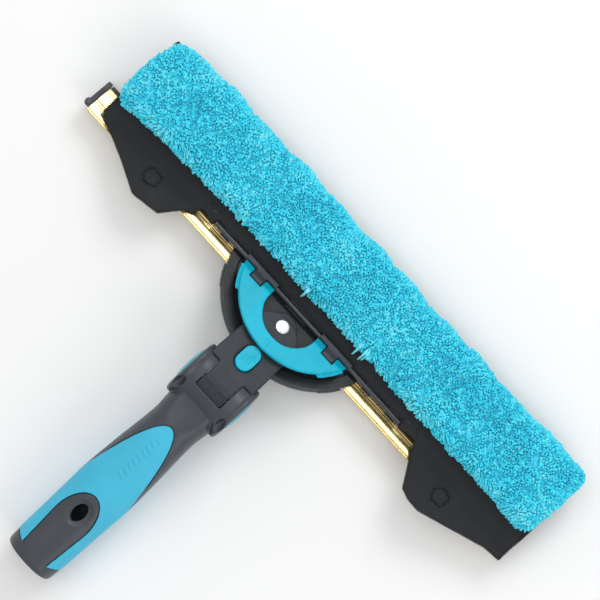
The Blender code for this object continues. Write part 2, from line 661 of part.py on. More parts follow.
# ---------------------------------------------------------------- pad


def make_pad_rod(axis):
    pad_rod = rod("pad_rod", ROD_RADIUS, (ROD_FROM, 0, 0), (ROD_TO, 0, 0))
    attach(pad_rod, axis, (0, 0, 0), material("dark_plastic", DARK, 0.50))


def make_pad_plate(axis):
    plate = box("pad_plate", (PAD_FROM + 6, PAD_TO - 6), (4.4, PLATE_END), (PLATE_LOW, PLATE_TOP))
    for low, high in HOOKS:
        hook = rod("rod_hook", ROD_RADIUS + 1.3, (low, 0, 0), (high, 0, 0), 24)
        cut(hook, box("hook_back", (low - 1, high + 1), (-10, -0.6), (-10, 10)))
        join(hook, box("hook_arm", (low, high), (1.5, 5.5), (PLATE_LOW, PLATE_TOP)))
        cut(hook, rod("hook_bore", ROD_RADIUS + GAP, (low - 1, 0, 0), (high + 1, 0, 0), 24))
        join(plate, hook)
    attach(plate, axis, (0, 0, 0), material("dark_plastic", DARK, 0.50))


def make_pad_fabric(axis):
    cloth = material("black_fabric", BLACK, 0.90)
    across = (PAD_FROM + 4, PAD_TO - 1)
    low = PLATE_TOP + GAP
    backing = box("pad_backing", across, (STRIP_BACK + 0.6, PLATE_END), (low + 1.2, low + 1.2 + FABRIC))
    attach(backing, axis, (0, 0, 0), cloth)
    high = PLATE_LOW - GAP
    lining = box("pad_lining", across, (6.0, PLATE_END), (high - FABRIC, high))
    attach(lining, axis, (0, 0, 0), cloth)
    base = low + 1.2 + FABRIC + GAP
    front = PLATE_END + 2 * GAP
    section = [(PAD_BACK, base), (front, base), (front, -4.4), (55.9, -5.4), (58.5, -4.2),
               (PAD_FRONT, 0.0), (PAD_FRONT, 8.0), (57.9, 11.4), (52.9, FLEECE_TOP),
               (15.0, FLEECE_TOP), (10.7, 11.6), (PAD_BACK, 8.6)]
    fleece = slab("pad_microfibre", section, PAD_FROM, PAD_TO, 0, True)
    attach(fleece, axis, (0, 0, 0), material("aqua_fleece", (0.05, 0.50, 0.72), 0.95))


def make_ears(axis):
    cloth = material("black_fabric", BLACK, 0.90)
    for side, outline in (("left", LEFT_EAR), ("right", RIGHT_EAR)):
        ear = slab(f"pad_ear_{side}", outline, EAR_LOW, EAR_LOW + FABRIC)
        attach(ear, axis, (0, 0, 0), cloth)
        x, y = SNAPS[side]
        low = EAR_LOW + FABRIC + GAP
        snap = rod(f"ear_snap_{side}", SNAP_RADIUS, (x, y, low), (x, y, SNAP_TOP), 24, SNAP_RADIUS - 1)
        attach(snap, axis, (0, 0, 0), cloth)


# ---------------------------------------------------------------- assembly


def main():
    tool = empty("tool", None, (0, 0, 0))
    tilt = empty("tilt_axis", tool, (0, 0, 0))
    grip_axis = empty("grip_axis", tilt, (0, 0, 0), GRIP_SLOPE)
    neck_axis = empty("neck_axis", tilt, (0, 0, 0), -HEAD_SLOPE)
    swivel_axis = empty("swivel_axis", neck_axis, (0, -TILT_Y, -TILT_Z))
    lever_axis = empty("lever_axis", swivel_axis, (0, LEVER_AXIS_Y, LEVER_AXIS_Z))
    pad_axis = empty("pad_axis", swivel_axis, (0, ROD_Y, ROD_Z), HEAD_SLOPE)
    middle = sum(SWIVEL_BUTTON_Y) / 2
    button_axis = empty("swivel_button_axis", neck_axis, (0, middle - TILT_Y, SWIVEL_BUTTON_LOW - TILT_Z))
    button_axes = {side: empty(f"tilt_button_axis_{side}", grip_axis, (0, 0, 0)) for side in ("left", "right")}

    make_grip_core(grip_axis)
    make_grip_skin(grip_axis)
    make_tilt_buttons(grip_axis, button_axes)
    make_neck(neck_axis)
    make_swivel_button(button_axis, neck_axis)
    make_front_plate(swivel_axis)
    make_back_shell(swivel_axis)
    make_bolt(swivel_axis)
    make_lever(lever_axis)
    make_lever_pins(swivel_axis)
    make_brackets(swivel_axis)
    make_channel(swivel_axis)
    make_end_clips(swivel_axis)
    make_pad_rod(pad_axis)
    make_pad_plate(pad_axis)
    make_pad_fabric(pad_axis)
    make_ears(swivel_axis)
    stand_on_floor(tool)


def stand_on_floor(tool):
    """Moves the tool so that its box stands on z = 0 with its middle over the origin."""
    bpy.context.view_layer.update()
    graph = bpy.context.evaluated_depsgraph_get()
    points = []
    for obj in PARTS.objects:
        if obj.type == "MESH":
            shape = obj.evaluated_get(graph)
            points += [shape.matrix_world @ vertex.co for vertex in shape.to_mesh().vertices]
            shape.to_mesh_clear()
    low = [min(point[i] for point in points) for i in range(3)]
    high = [max(point[i] for point in points) for i in range(3)]
    tool.location = (-(low[0] + high[0]) / 2, -(low[1] + high[1]) / 2, -low[2])
    bpy.context.view_layer.update()


clear_scene()
PARTS = new_collection("window_squeegee")
CUTTERS = new_collection("cutters")
main()
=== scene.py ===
"""Window squeegee with a brass channel, a clamp lever, a soft grip and a flip-up microfibre pad.

Every shape is made in millimetres, in the frame of the part it belongs to: HEAD has its origin on the swivel
axis at the channel's top face, GRIP on the tilt axis with the grip along -y, and PAD on the pad's hinge.
"""

import itertools
import json
import math

import bmesh
import bpy
import numpy as np
from mathutils import Matrix, Vector, noise


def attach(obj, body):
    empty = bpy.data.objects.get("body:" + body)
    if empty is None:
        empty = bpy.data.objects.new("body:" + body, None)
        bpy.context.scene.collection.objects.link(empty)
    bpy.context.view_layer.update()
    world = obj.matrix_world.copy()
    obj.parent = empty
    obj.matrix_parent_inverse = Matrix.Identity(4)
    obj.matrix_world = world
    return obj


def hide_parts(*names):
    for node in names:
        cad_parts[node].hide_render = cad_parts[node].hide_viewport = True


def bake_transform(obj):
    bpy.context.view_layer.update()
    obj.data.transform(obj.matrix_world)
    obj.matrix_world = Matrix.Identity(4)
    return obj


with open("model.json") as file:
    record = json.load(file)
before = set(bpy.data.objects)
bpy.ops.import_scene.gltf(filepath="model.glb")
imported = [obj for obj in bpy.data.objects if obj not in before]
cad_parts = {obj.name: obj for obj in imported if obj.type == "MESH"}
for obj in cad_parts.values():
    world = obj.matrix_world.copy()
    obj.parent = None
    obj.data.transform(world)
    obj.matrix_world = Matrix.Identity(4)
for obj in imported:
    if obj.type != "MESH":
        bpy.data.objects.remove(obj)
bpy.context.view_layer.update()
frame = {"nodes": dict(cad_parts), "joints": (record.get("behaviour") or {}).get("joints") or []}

MM = 0.001


def joint_at(name):
    return Matrix.Translation(next(j for j in frame["joints"] if j["name"] == name)["pos_m"])


HEAD_SLOPE, GRIP_SLOPE = math.radians(26.0), math.radians(7.73)
HEAD = joint_at("swivel") @ Matrix.Rotation(-HEAD_SLOPE, 4, "X")
GRIP = joint_at("tilt") @ Matrix.Rotation(GRIP_SLOPE, 4, "X")
PAD = joint_at("pad_flip")

# Camera: it looks straight down, turned so that the grip runs to the lower left
CAMERA_TURN = math.radians(47.6)
CAMERA_HEIGHT = 2.0
CAMERA_AT = (-0.01064, 0.0814)
LENS = 207.5

# Head, in HEAD coordinates
TILT_Y, TILT_Z = -50.7, -5.0
DISC_Y, DISC_RADIUS, RIM_WIDTH = 30.0, 54.2, 5.7
PLATE_FLOOR, RIM_TOP, PLATE_FRONT = 2.3, 4.0, 17.2
SHELL_FRONT = 22.0
SHELL_SECTIONS = ((-0.2, 0.5), (-0.9, 0.0), (-3.6, 0.0), (-6.6, 1.6), (-12.0, 6.2))
CHANNEL_FROM, CHANNEL_TO = -168.4, 174.8
LEVER_Y, LEVER_RADIUS = 22.9, 43.4
LEVER_HOLE_Y, LEVER_HOLE_RADIUS = 7.6, 18.4
LEVER_AXIS = (12.4, 5.6)
TAB = (26.0, 34.4)
ROD = (16.0, 5.2)
ROD_RADIUS = 1.5
KNUCKLE = (18.8, 43.8)

# Grip: distance from the tilt axis, half width, half height
GRIP_STATIONS = np.array((
    (10.0, 14.8, 14.6), (18.0, 16.4, 14.6), (22.6, 16.2, 14.4), (29.4, 15.2, 14.2), (41.2, 15.7, 14.6),
    (58.2, 17.0, 15.8), (81.2, 18.2, 17.2), (103.2, 17.5, 17.0), (131.2, 16.9, 16.6), (143.0, 16.6, 16.4),
    (145.0, 16.3, 16.1), (145.8, 15.6, 15.4),
))
SOCKET_RADIUS, SOCKET_DEPTH = 12.2, 76.0
LOCK_HOLE_AT = 102.6
PETAL_START, PETAL_FULL = 30.9, 88.0
WINDOW_START, WINDOW_WIDEST, SKIN_END = 89.1, 110.0, 138.8
BARREL_RADIUS, FORK_HALF = 15.4, 10.1
SQUARENESS = 2.3
SKIN_GAP, FLANK_SHARE = 0.35, 0.88
BOLT_BORE, PIN_BORE = 2.9, 3.0
# Voxel of the coarse remesh that joins overlapping shapes before they are cut
JOIN_VOXEL = 0.5

CHEEK = [(0, -20.2), (14.4, -20.2), (16.7, -19.6), (17.7, -18.6), (17.6, -17.4), (16.5, -15.6), (16.4, -14.0)]

# Pad, in PAD coordinates
PAD_FROM, PAD_TO = -165.0, 184.0
PAD_BACK = 9.3
PLATE_END = 51.9
FABRIC_Z = 2.6
YARN_SPACING, PILE_STRIPS = 0.96, 6
SIMULATED_FRAMES, SWELL_LIMIT = 20, 1.8
# Loose yarns: place along the pad, root and tip across it, sideways drift
LOOSE_YARNS = ((37.6, 17.0, 6.9, 0.8), (39.0, 17.4, 7.6, -0.9), (42.4, 16.6, 7.2, 0.4),
               (43.4, 17.2, 8.4, 1.2), (-6.2, 14.6, 7.4, 0.5), (-4.8, 14.2, 8.6, -0.6))


# ---------------------------------------------------------------- shapes


def new_object(name, data):
    obj = bpy.data.objects.new(name, data)
    bpy.context.scene.collection.objects.link(obj)
    return obj


def shape(name, verts, faces):
    mesh = bpy.data.meshes.new(name)
    mesh.from_pydata([tuple(v) for v in verts], [], [tuple(f) for f in faces])
    bm = bmesh.new()
    bm.from_mesh(mesh)
    bmesh.ops.recalc_face_normals(bm, faces=bm.faces)
    bm.to_mesh(mesh)
    bm.free()
    return new_object(name, mesh)


def arc(centre, radius, start, end, steps=24):
    angles = np.radians(np.linspace(start, end, steps + 1))
    return [(centre[0] + radius * math.cos(a), centre[1] + radius * math.sin(a)) for a in angles]


def circle(centre, radius, steps):
    return arc(centre, radius, 0, 360, steps)[:-1]


def rectangle(left, low, right, high):
    return [(left, low), (right, low), (right, high), (left, high)]


def mirrored(right):
    """The outline whose right half runs from the middle line to the middle line."""
    return list(right) + [(-x, y) for x, y in reversed(right) if abs(x) > 1e-6]


def stadium(half, low, high, steps=16):
    return arc((0, high - half), half, 0, 180, steps) + arc((0, low + half), half, 180, 360, steps)


def prism(name, outline, low, high, side=False):
    """An outline made thick along z, or along x where side is set and the outline lies in y, z."""
    count = len(outline)
    points = [(h, a, b) if side else (a, b, h) for h in (low, high) for a, b in outline]
    faces = [range(count), range(count, 2 * count)]
    faces += [(i, (i + 1) % count, count + (i + 1) % count, count + i) for i in range(count)]
    return shape(name, points, faces)


def loft(name, rings):
    """A closed body through rings with equal numbers of points."""
    count = len(rings[0])
    points = [p for ring in rings for p in ring]
    faces = []
    for row in range(len(rings) - 1):
        a, b = row * count, (row + 1) * count
        faces += [(a + i, a + (i + 1) % count, b + (i + 1) % count, b + i) for i in range(count)]
    return shape(name, points, faces + [range(count), range(len(points) - count, len(points))])


def turned(name, profile, segments=64, along_x=False):
    """A round piece about z, or about x, from (radius, height) pairs that start and end on the axis."""
    rings = []
    for radius, height in profile:
        radius = max(radius, 1e-3)
        ring = [(radius * math.cos(t), radius * math.sin(t), height)
                for t in np.linspace(0, math.tau, segments, endpoint=False)]
        rings.append([(z, x, y) for x, y, z in ring] if along_x else ring)
    return loft(name, rings)


def peg(radius, low, high, segments=48, along_x=False):
    """A plain round bar, mostly to cut a bore with."""
    return turned("peg", [(0, low), (radius, low), (radius, high), (0, high)], segments, along_x)


def mirror_x(obj):
    obj.data.transform(Matrix.Scale(-1, 4, (1, 0, 0)))
    obj.data.flip_normals()


def sided(way, near, far):
    """The range from near to far on the right (1) or left (-1) side, in rising order."""
    return sorted((way * near, way * far))


def moved(obj, x=0.0, y=0.0, z=0.0):
    obj.data.transform(Matrix.Translation((x, y, z)))
    return obj


def apply_modifiers(obj):
    graph = bpy.context.evaluated_depsgraph_get()
    mesh = bpy.data.meshes.new_from_object(obj.evaluated_get(graph))
    old = obj.data
    obj.modifiers.clear()
    obj.data = mesh
    bpy.data.meshes.remove(old)
    return obj


def discard(obj):
    mesh = obj.data
    bpy.data.objects.remove(obj)
    bpy.data.meshes.remove(mesh)


def combine(obj, other, operation):
    step = obj.modifiers.new("step", "BOOLEAN")
    step.operation, step.object, step.solver = operation, other, "EXACT"
    apply_modifiers(obj)
    discard(other)
    return obj


def cut(obj, *others):
    for other in others:
        combine(obj, other, "DIFFERENCE")
    return obj


def merge(obj, *others):
    """Puts the other closed shapes into obj; the remesh that follows makes them one."""
    bm = bmesh.new()
    bm.from_mesh(obj.data)
    for other in others:
        bm.from_mesh(other.data)
        discard(other)
    bm.to_mesh(obj.data)
    bm.free()
    return obj


def soften(obj, voxel, passes=4):
    """Makes one even skin of obj with the small round edges of moulded plastic."""
    remesh = obj.modifiers.new("remesh", "REMESH")
    remesh.mode, remesh.voxel_size = "VOXEL", voxel
    ease = obj.modifiers.new("ease", "SMOOTH")
    ease.factor, ease.iterations = 0.5, passes
    return apply_modifiers(obj)


def triples(items, key, kind=float):
    """The three values that each item keeps under key, as an array with a row for each item."""
    values = np.empty(len(items) * 3, kind)
    items.foreach_get(key, values)
    return values.reshape(-1, 3)


def points_of(obj):
    return triples(obj.data.vertices, "co")


def normals_of(obj):
    return triples(obj.data.vertex_normals, "vector")


def set_points(obj, points):
    obj.data.vertices.foreach_set("co", np.asarray(points, np.float32).ravel())
    obj.data.update()
    return obj


def emboss(obj, height, facing=0.5):
    """Raises the upward faces of obj by height(x, y) along z."""
    points, normals = points_of(obj), normals_of(obj)
    up = np.clip((normals[:, 2] - facing) / 0.2, 0, 1)
    points[:, 2] += up * height(points[:, 0], points[:, 1])
    return set_points(obj, points)


def smooth(value):
    """The value held between 0 and 1, with a soft start and end."""
    t = np.clip(value, 0, 1)
    return t * t * (3 - 2 * t)


def bump(distance, half, edge):
    """1 inside half, 0 beyond half + edge, with a smooth step between."""
    return smooth((half + edge - np.abs(distance)) / edge)


def place(obj, frame_of, body, look, nodes=(), angle=40):
    """Finishes a piece made in millimetres: puts it where it belongs, on its body, with its material.

    A piece called after a node, with _fine behind the name, replaces that node.
    """
    slot, material = LOOKS[look]
    obj.data.transform(frame_of @ Matrix.Scale(MM, 4))
    obj.data.materials.clear()
    obj.data.materials.append(material)
    obj.data.shade_smooth()
    obj.data.set_sharp_from_angle(angle=math.radians(angle))
    if body:
        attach(obj, body)
    if obj.name.endswith("_fine"):
        nodes = [obj.name.removesuffix("_fine")]
    if nodes:
        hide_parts(*nodes)
    return obj


# ---------------------------------------------------------------- materials


class Look:
    """A node material under construction."""

    def __init__(self, name):
        self.material = bpy.data.materials.new(name)
        self.material.use_nodes = True
        self.tree = self.material.node_tree
        self.place = self.add("ShaderNodeTexCoord", "Object")

    def feed(self, node, inputs):
        """Gives each input of the node its link, colour or number; None leaves it alone."""
        for key, value in inputs.items():
            socket = node.inputs[key]
            if isinstance(value, bpy.types.NodeSocket):
                self.tree.links.new(value, socket)
            elif value is not None:
                socket.default_value = (*value, 1.0) if socket.type == "RGBA" else value

    def add(self, kind, output, inputs=None, **settings):
        """Adds a node with its settings and inputs, and returns one of its outputs."""
        node = self.tree.nodes.new(kind)
        for key, value in settings.items():
            setattr(node, key, value)
        self.feed(node, inputs or {})
        return node.outputs[output]

    def noise(self, scale, detail=3.0, stretch=(1, 1, 1)):
        spread = self.add("ShaderNodeMapping", "Vector", {"Vector": self.place, "Scale": stretch})
        return self.add("ShaderNodeTexNoise", "Fac", {"Scale": scale, "Detail": detail, "Vector": spread})

    def attribute(self, name):
        return self.add("ShaderNodeAttribute", "Fac", attribute_name=name)

    def ramp(self, value, *stops):
        shade = self.add("ShaderNodeValToRGB", "Color", {"Fac": value})
        ramp = shade.node.color_ramp
        for _ in stops[2:]:
            ramp.elements.new(0.5)
        for element, (position, colour) in zip(ramp.elements, stops):
            element.position = position
            element.color = (*colour, 1.0)
        return shade

    def grey(self, value, low, high, start=0.3, end=0.7):
        """The value from start to end spread over low to high."""
        return self.add("ShaderNodeMapRange", "Result",
                        {"Value": value, "From Min": start, "From Max": end, "To Min": low, "To Max": high})

    def math(self, operation, a, b):
        return self.add("ShaderNodeMath", 0, {0: a, 1: b}, operation=operation)

    def mix(self, amount, a, b, blend="MIX"):
        return self.add("ShaderNodeMix", 2, {0: amount, 6: a, 7: b}, data_type="RGBA", blend_type=blend)

    def bump(self, height, strength, distance, after=None):
        return self.add("ShaderNodeBump", "Normal",
                        {"Height": height, "Strength": strength, "Distance": distance, "Normal": after})

    def edges(self, colour, highlight):
        """The colour with a painted highlight where the surface turns out sharply, broken up by noise."""
        bend = self.add("ShaderNodeNewGeometry", "Pointiness")
        # Painted highlight: the share of the lighter colour on sharp edges, broken up by noise.
        edge_light = self.math("MULTIPLY", self.grey(bend, 0, 1, 0.52, 0.60), self.grey(self.noise(400), 0.4, 1.0))
        return self.mix(edge_light, colour, highlight)

    def finish(self, colour, roughness, normal=None, **fixed):
        inputs = {"Base Color": colour, "Roughness": roughness, "Normal": normal}
        inputs.update((key.replace("_", " "), value) for key, value in fixed.items())
        self.feed(self.tree.nodes["Principled BSDF"], inputs)
        return self.material


def scaled(colour, factor):
    return tuple(min(1.0, c * factor) for c in colour)


def plastic(name, colour, roughness, grain, highlight=1.7, shine=0.25):
    """Moulded plastic: spark-eroded grain, faint flow marks, and a painted highlight on its sharp edges."""
    look = Look(name)
    flow = look.noise(60, 4)
    base = look.ramp(flow, (0.3, scaled(colour, 0.90)), (0.7, scaled(colour, 1.10)))
    # Painted highlight: a lighter colour on the sharp edges.
    base = look.edges(base, scaled(colour, highlight))
    fine = look.noise(2600, 2)
    coarse = look.noise(700, 3)
    rough = look.grey(look.noise(160, 5), roughness - 0.05, roughness + 0.06)
    normal = look.bump(coarse, 0.25 * grain, 0.0002, look.bump(fine, 0.5 * grain, 0.0001))
    return look.finish(base, rough, normal, Specular_IOR_Level=shine)


def soft_plastic(name, colour):
    """Over-moulded elastomer with a fine leathery grain."""
    look = Look(name)
    base = look.ramp(look.noise(45, 3), (0.3, scaled(colour, 0.94)), (0.7, scaled(colour, 1.05)))
    cell = look.add("ShaderNodeTexVoronoi", "Distance", {"Scale": 1500, "Vector": look.place},
                    feature="DISTANCE_TO_EDGE")
    grain = look.bump(look.grey(cell, 0, 1, 0.0, 0.12), 0.16, 0.0001)
    rough = look.grey(look.noise(220, 4), 0.50, 0.62)
    normal = look.bump(look.noise(2400, 2), 0.2, 0.0001, grain)
    return look.finish(base, rough, normal, Specular_IOR_Level=0.25)


def brushed(name, colour, dark, roughness, along=(4, 900, 900)):
    """Drawn metal: fine lines along its length, faint stains and small scratches."""
    look = Look(name)
    lines = look.noise(1.0, 4, along)
    base = look.ramp(lines, (0.25, dark), (0.6, colour))
    base = look.mix(look.grey(look.noise(35, 6), 0.0, 0.25), base, dark)
    rough = look.grey(look.noise(1.5, 3, along), roughness - 0.07, roughness + 0.12)
    scratch = look.noise(300, 2, (1.0, 0.2, 0.2))
    normal = look.bump(scratch, 0.02, 0.0001, look.bump(lines, 0.03, 0.0001))
    return look.finish(base, rough, normal, Metallic=1.0)


def rubber(name):
    look = Look(name)
    dust = look.grey(look.noise(120, 6), 0.0, 0.5, 0.5, 0.8)
    base = look.mix(dust, (0.012, 0.012, 0.013), (0.035, 0.034, 0.033))
    rough = look.grey(look.noise(300, 4), 0.42, 0.62)
    return look.finish(base, rough, look.bump(look.noise(1800, 3), 0.2, 0.0001))


def woven(name, colour, light, pitch=0.0004):
    """Close-woven cloth: crossed threads, some of them lighter, with lint and a soft sheen."""
    look = Look(name)
    threads = {"Scale": 0.314 / pitch, "Distortion": 0.6, "Detail": 1.0, "Vector": look.place}
    waves = [look.add("ShaderNodeTexWave", "Fac", threads, bands_direction=way) for way in "XY"]
    weave = look.math("MAXIMUM", *waves)
    thread = look.noise(900, 3)
    base = look.ramp(look.math("MULTIPLY", weave, thread), (0.1, scaled(colour, 0.5)), (0.55, light))
    base = look.mix(look.grey(look.noise(70, 6), 0.0, 0.35, 0.5, 0.8), base, scaled(light, 1.6))
    normal = look.bump(weave, 0.5, 0.0002, look.bump(look.noise(500, 4), 0.25, 0.0004))
    rough = look.grey(thread, 0.72, 0.95)
    return look.finish(base, rough, normal, Sheen_Weight=0.10, Sheen_Roughness=0.5)


def pile(name):
    """Microfibre yarn: painted shade towards the root, each yarn with its own tint and fine filaments."""
    look = Look(name)
    # The tint attribute holds each yarn's random tone and the painted shade along the partings.
    tint = look.attribute("tint")
    rise = look.attribute("rise")
    base = look.ramp(tint, (0.0, (0.0, 0.42, 0.64)), (0.5, (0.03, 0.78, 0.97)), (1.0, (0.30, 0.93, 1.0)))
    # Painted shade: each yarn's colour darkened towards its root.
    root_shade = look.mix(0.6, base, (0.0, 0.96, 0.86), "MULTIPLY")
    base = look.mix(look.grey(rise, 0.0, 1.0, 0.0, 0.6), root_shade, base)
    strand = look.noise(2500, 3)
    base = look.mix(look.grey(strand, 0.0, 0.30), base, (0.12, 0.76, 0.92))
    normal = look.bump(strand, 0.6, 0.0002)
    rough = look.grey(look.noise(600), 0.75, 0.95)
    return look.finish(base, rough, normal, Sheen_Weight=0.22, Sheen_Roughness=0.4)


def floor_look():
    look = Look("studio_floor")
    base = look.ramp(look.noise(3, 5), (0.3, (0.93, 0.93, 0.93)), (0.7, (0.955, 0.955, 0.955)))
    return look.finish(base, look.grey(look.noise(40), 0.7, 0.8))


def make_looks():
    """For each look the name of a slot and its material."""
    looks = {
        "charcoal": ("charcoal_plastic", plastic("moulded_charcoal", (0.031, 0.037, 0.045), 0.46, 1.0)),
        "shell": ("charcoal_plastic", plastic("moulded_shell", (0.056, 0.063, 0.073), 0.40, 0.8)),
        "grip": ("charcoal_plastic", plastic("moulded_grip", (0.048, 0.054, 0.066), 0.38, 1.0, 1.7, 0.5)),
        "rail": ("dark_plastic", plastic("moulded_rail", (0.040, 0.045, 0.052), 0.28, 0.5, 1.7, 0.6)),
        "dark": ("dark_plastic", plastic("moulded_dark", (0.020, 0.023, 0.027), 0.42, 0.8)),
        "aqua": ("aqua_plastic", plastic("moulded_aqua", (0.002, 0.450, 0.620), 0.34, 0.35, 1.12, 0.2)),
        "skin": ("soft_aqua", soft_plastic("soft_aqua_skin", (0.065, 0.500, 0.720))),
        "gold": ("brass", brushed("drawn_brass", (0.90, 0.76, 0.42), (0.72, 0.56, 0.26), 0.27)),
        "steel": ("steel", brushed("satin_steel", (0.95, 0.95, 0.95), (0.78, 0.78, 0.80), 0.34,
                                   (300, 300, 300))),
        "rubber": ("blade_rubber", rubber("blade_rubber")),
        "cloth": ("black_fabric", woven("black_cloth", (0.008, 0.009, 0.011), (0.018, 0.020, 0.024), 0.0007)),
        "thread": ("black_fabric", woven("black_thread", (0.007, 0.007, 0.008), (0.018, 0.018, 0.020))),
        "pale_thread": ("black_fabric", woven("pale_thread", (0.05, 0.052, 0.056), (0.12, 0.125, 0.13))),
        "pile": ("aqua_fleece", pile("microfibre_pile")),
    }
    looks["clip"] = ("dark_plastic", looks["shell"][1])
    return looks


# ---------------------------------------------------------------- camera, light, floor


def make_stage():
    camera = new_object("camera", bpy.data.cameras.new("camera"))
    camera.data.lens = LENS
    camera.data.clip_start, camera.data.clip_end = 0.05, 50
    camera.location = (*CAMERA_AT, CAMERA_HEIGHT)
    camera.rotation_euler = (0, 0, CAMERA_TURN)
    bpy.context.scene.camera = camera
    bpy.context.scene.view_settings.view_transform = "Standard"

    floor = shape("floor", [(-4, -4, 0), (4, -4, 0), (4, 4, 0), (-4, 4, 0)], [(0, 1, 2, 3)])
    floor.data.materials.append(floor_look())

    world = bpy.data.worlds.new("studio")
    world.use_nodes = True
    world.node_tree.nodes["Background"].inputs["Color"].default_value = (1.0, 1.0, 1.0, 1.0)
    world.node_tree.nodes["Background"].inputs["Strength"].default_value = 0.62
    bpy.context.scene.world = world
    for name, at, size, power in (
        ("key", Vector((-0.25, 1.45, 1.20)), 0.95, 11.0),
        ("fill", Vector((1.30, -0.20, 1.10)), 1.0, 5.0),
        ("top", Vector((-0.60, 0.10, 1.90)), 1.5, 6.0),
    ):
        lamp = bpy.data.lights.new(name, "AREA")
        lamp.shape, lamp.size, lamp.energy = "DISK", size, power
        light = new_object(name, lamp)
        light.location = at
        light.rotation_euler = (-at).to_track_quat("-Z", "Y").to_euler()


# ---------------------------------------------------------------- grip


def grip_size(distance):
    """Half width and half height of the grip at distances from the tilt axis."""
    fine = np.arange(10.0, 146.0, 0.4)
    curves = []
    for column in (1, 2):
        raw = np.interp(fine, GRIP_STATIONS[:, 0], GRIP_STATIONS[:, column])
        padded = np.pad(raw, 10, "edge")
        eased = np.convolve(padded, np.ones(21) / 21, "valid")
        keep = np.clip((fine - 138.6) / 3.0, 0, 1)
        curves.append(np.interp(distance, fine, eased * (1 - keep) + raw * keep))
    return curves


def saddle(x, distance):
    """Depth of the thumb's hollow in the grip's top."""
    along = np.clip((distance - 4.0) / 6.0, 0, 1) * np.clip((31.5 - distance) / 16.0, 0, 1)
    return 2.6 * smooth(along) * np.exp(-(x / 9.5) ** 4)


def grip_form(name, inset=0.0, overrun=0.0):
    """The grip's form, or a smaller one inside it that runs out beyond the end."""
    distances = np.concatenate([np.arange(10.0, 142.6, 1.0), GRIP_STATIONS[-3:, 0]])
    widths, heights = grip_size(distances)
    distances[-1] += overrun
    power = 2.0 / SQUARENESS
    angles = np.linspace(0, math.tau, 96, endpoint=False)
    c, s = np.cos(angles), np.sin(angles)
    rings = []
    for distance, width, height in zip(distances, widths - inset, heights - inset):
        x = width * np.sign(c) * np.abs(c) ** power
        z = height * np.sign(s) * np.abs(s) ** power
        z = z - saddle(x, distance) * np.clip(z / height, 0, 1)
        rings.append([(across, -distance, up) for across, up in zip(x, z)])
    return loft(name, rings)


def petal_half(distance):
    """Half width of the skin's petal."""
    along = distance - PETAL_START
    return 2.7 * math.sqrt(along) * (1 - 0.0016 * along)


def petal_share():
    """Distances along the petal, with the share of the grip's half width it reaches and its edge's height."""
    distances = np.arange(PETAL_START + 20.0, PETAL_FULL + 6.0, 0.25)
    widths, heights = grip_size(distances)
    share = np.clip([petal_half(d) for d in distances] / widths, 0, 1)
    return distances, share, heights * (1 - share ** SQUARENESS) ** (1 / SQUARENESS)


def flank_start():
    """Distance at which the petal's edge turns from the grip's top to its flank."""
    distances, share, _ = petal_share()
    return float(distances[np.argmax(share > FLANK_SHARE)])


def flank_tongues(inset=0.0):
    """The charcoal tongues on the grip's flanks, cut square to them, so that their edges are clean."""
    distances, _, height = petal_share()
    keep = (distances > flank_start() - 2.5) & (height > inset + 0.05)
    upper = list(zip(-distances[keep], height[keep] - inset))
    outline = upper + [(y, -z) for y, z in reversed(upper)]
    return [prism("tongue", outline, low, low + 20, True) for low in (-30, 10)]


def window_half(distance):
    """Half width of the charcoal window between the skin's legs."""
    if distance < WINDOW_WIDEST:
        part = (WINDOW_WIDEST - distance) / (WINDOW_WIDEST - WINDOW_START)
        return 12.0 * math.sqrt(max(0.0, 1 - part * part))
    return 12.0 - 2.0 * (distance - WINDOW_WIDEST) / (SKIN_END - WINDOW_WIDEST)


def skin_outline(grow=0.0):
    """Plan of the soft skin: a petal that widens to the grip's sides, and two legs around the window."""
    steps, flank = 40, flank_start()
    right = [(0.0, -PETAL_START + grow)]
    for i in range(1, steps + 1):
        distance = PETAL_START + (flank - PETAL_START) * (i / steps) ** 2
        right.append((petal_half(distance) + grow, -distance))
    right += [(26.0, -flank - 0.2 + grow), (26.0, -SKIN_END + 6 - grow)]
    right.append((17.0, -SKIN_END + 2.6 - grow))
    for i in range(steps + 1):
        distance = SKIN_END + (WINDOW_START - SKIN_END) * math.sin(math.pi / 2 * i / steps)
        right.append((max(window_half(distance) - grow, 0.0), -distance - grow))
    right[-1] = (0.0, -WINDOW_START - grow)
    return mirrored(right)


def grip_bars(x, y):
    """Height of the row of slanting ridges on the skin, which stops the palm from slipping."""
    distance = -y
    along = (distance - 0.35 * x - 41.0) / 3.6
    ridge = bump((along - np.round(along)) * 3.6, 0.25, 0.75)
    return 0.45 * ridge * bump(x, 1.9, 0.5) * bump(distance - 56.0, 15.0, 0.3)


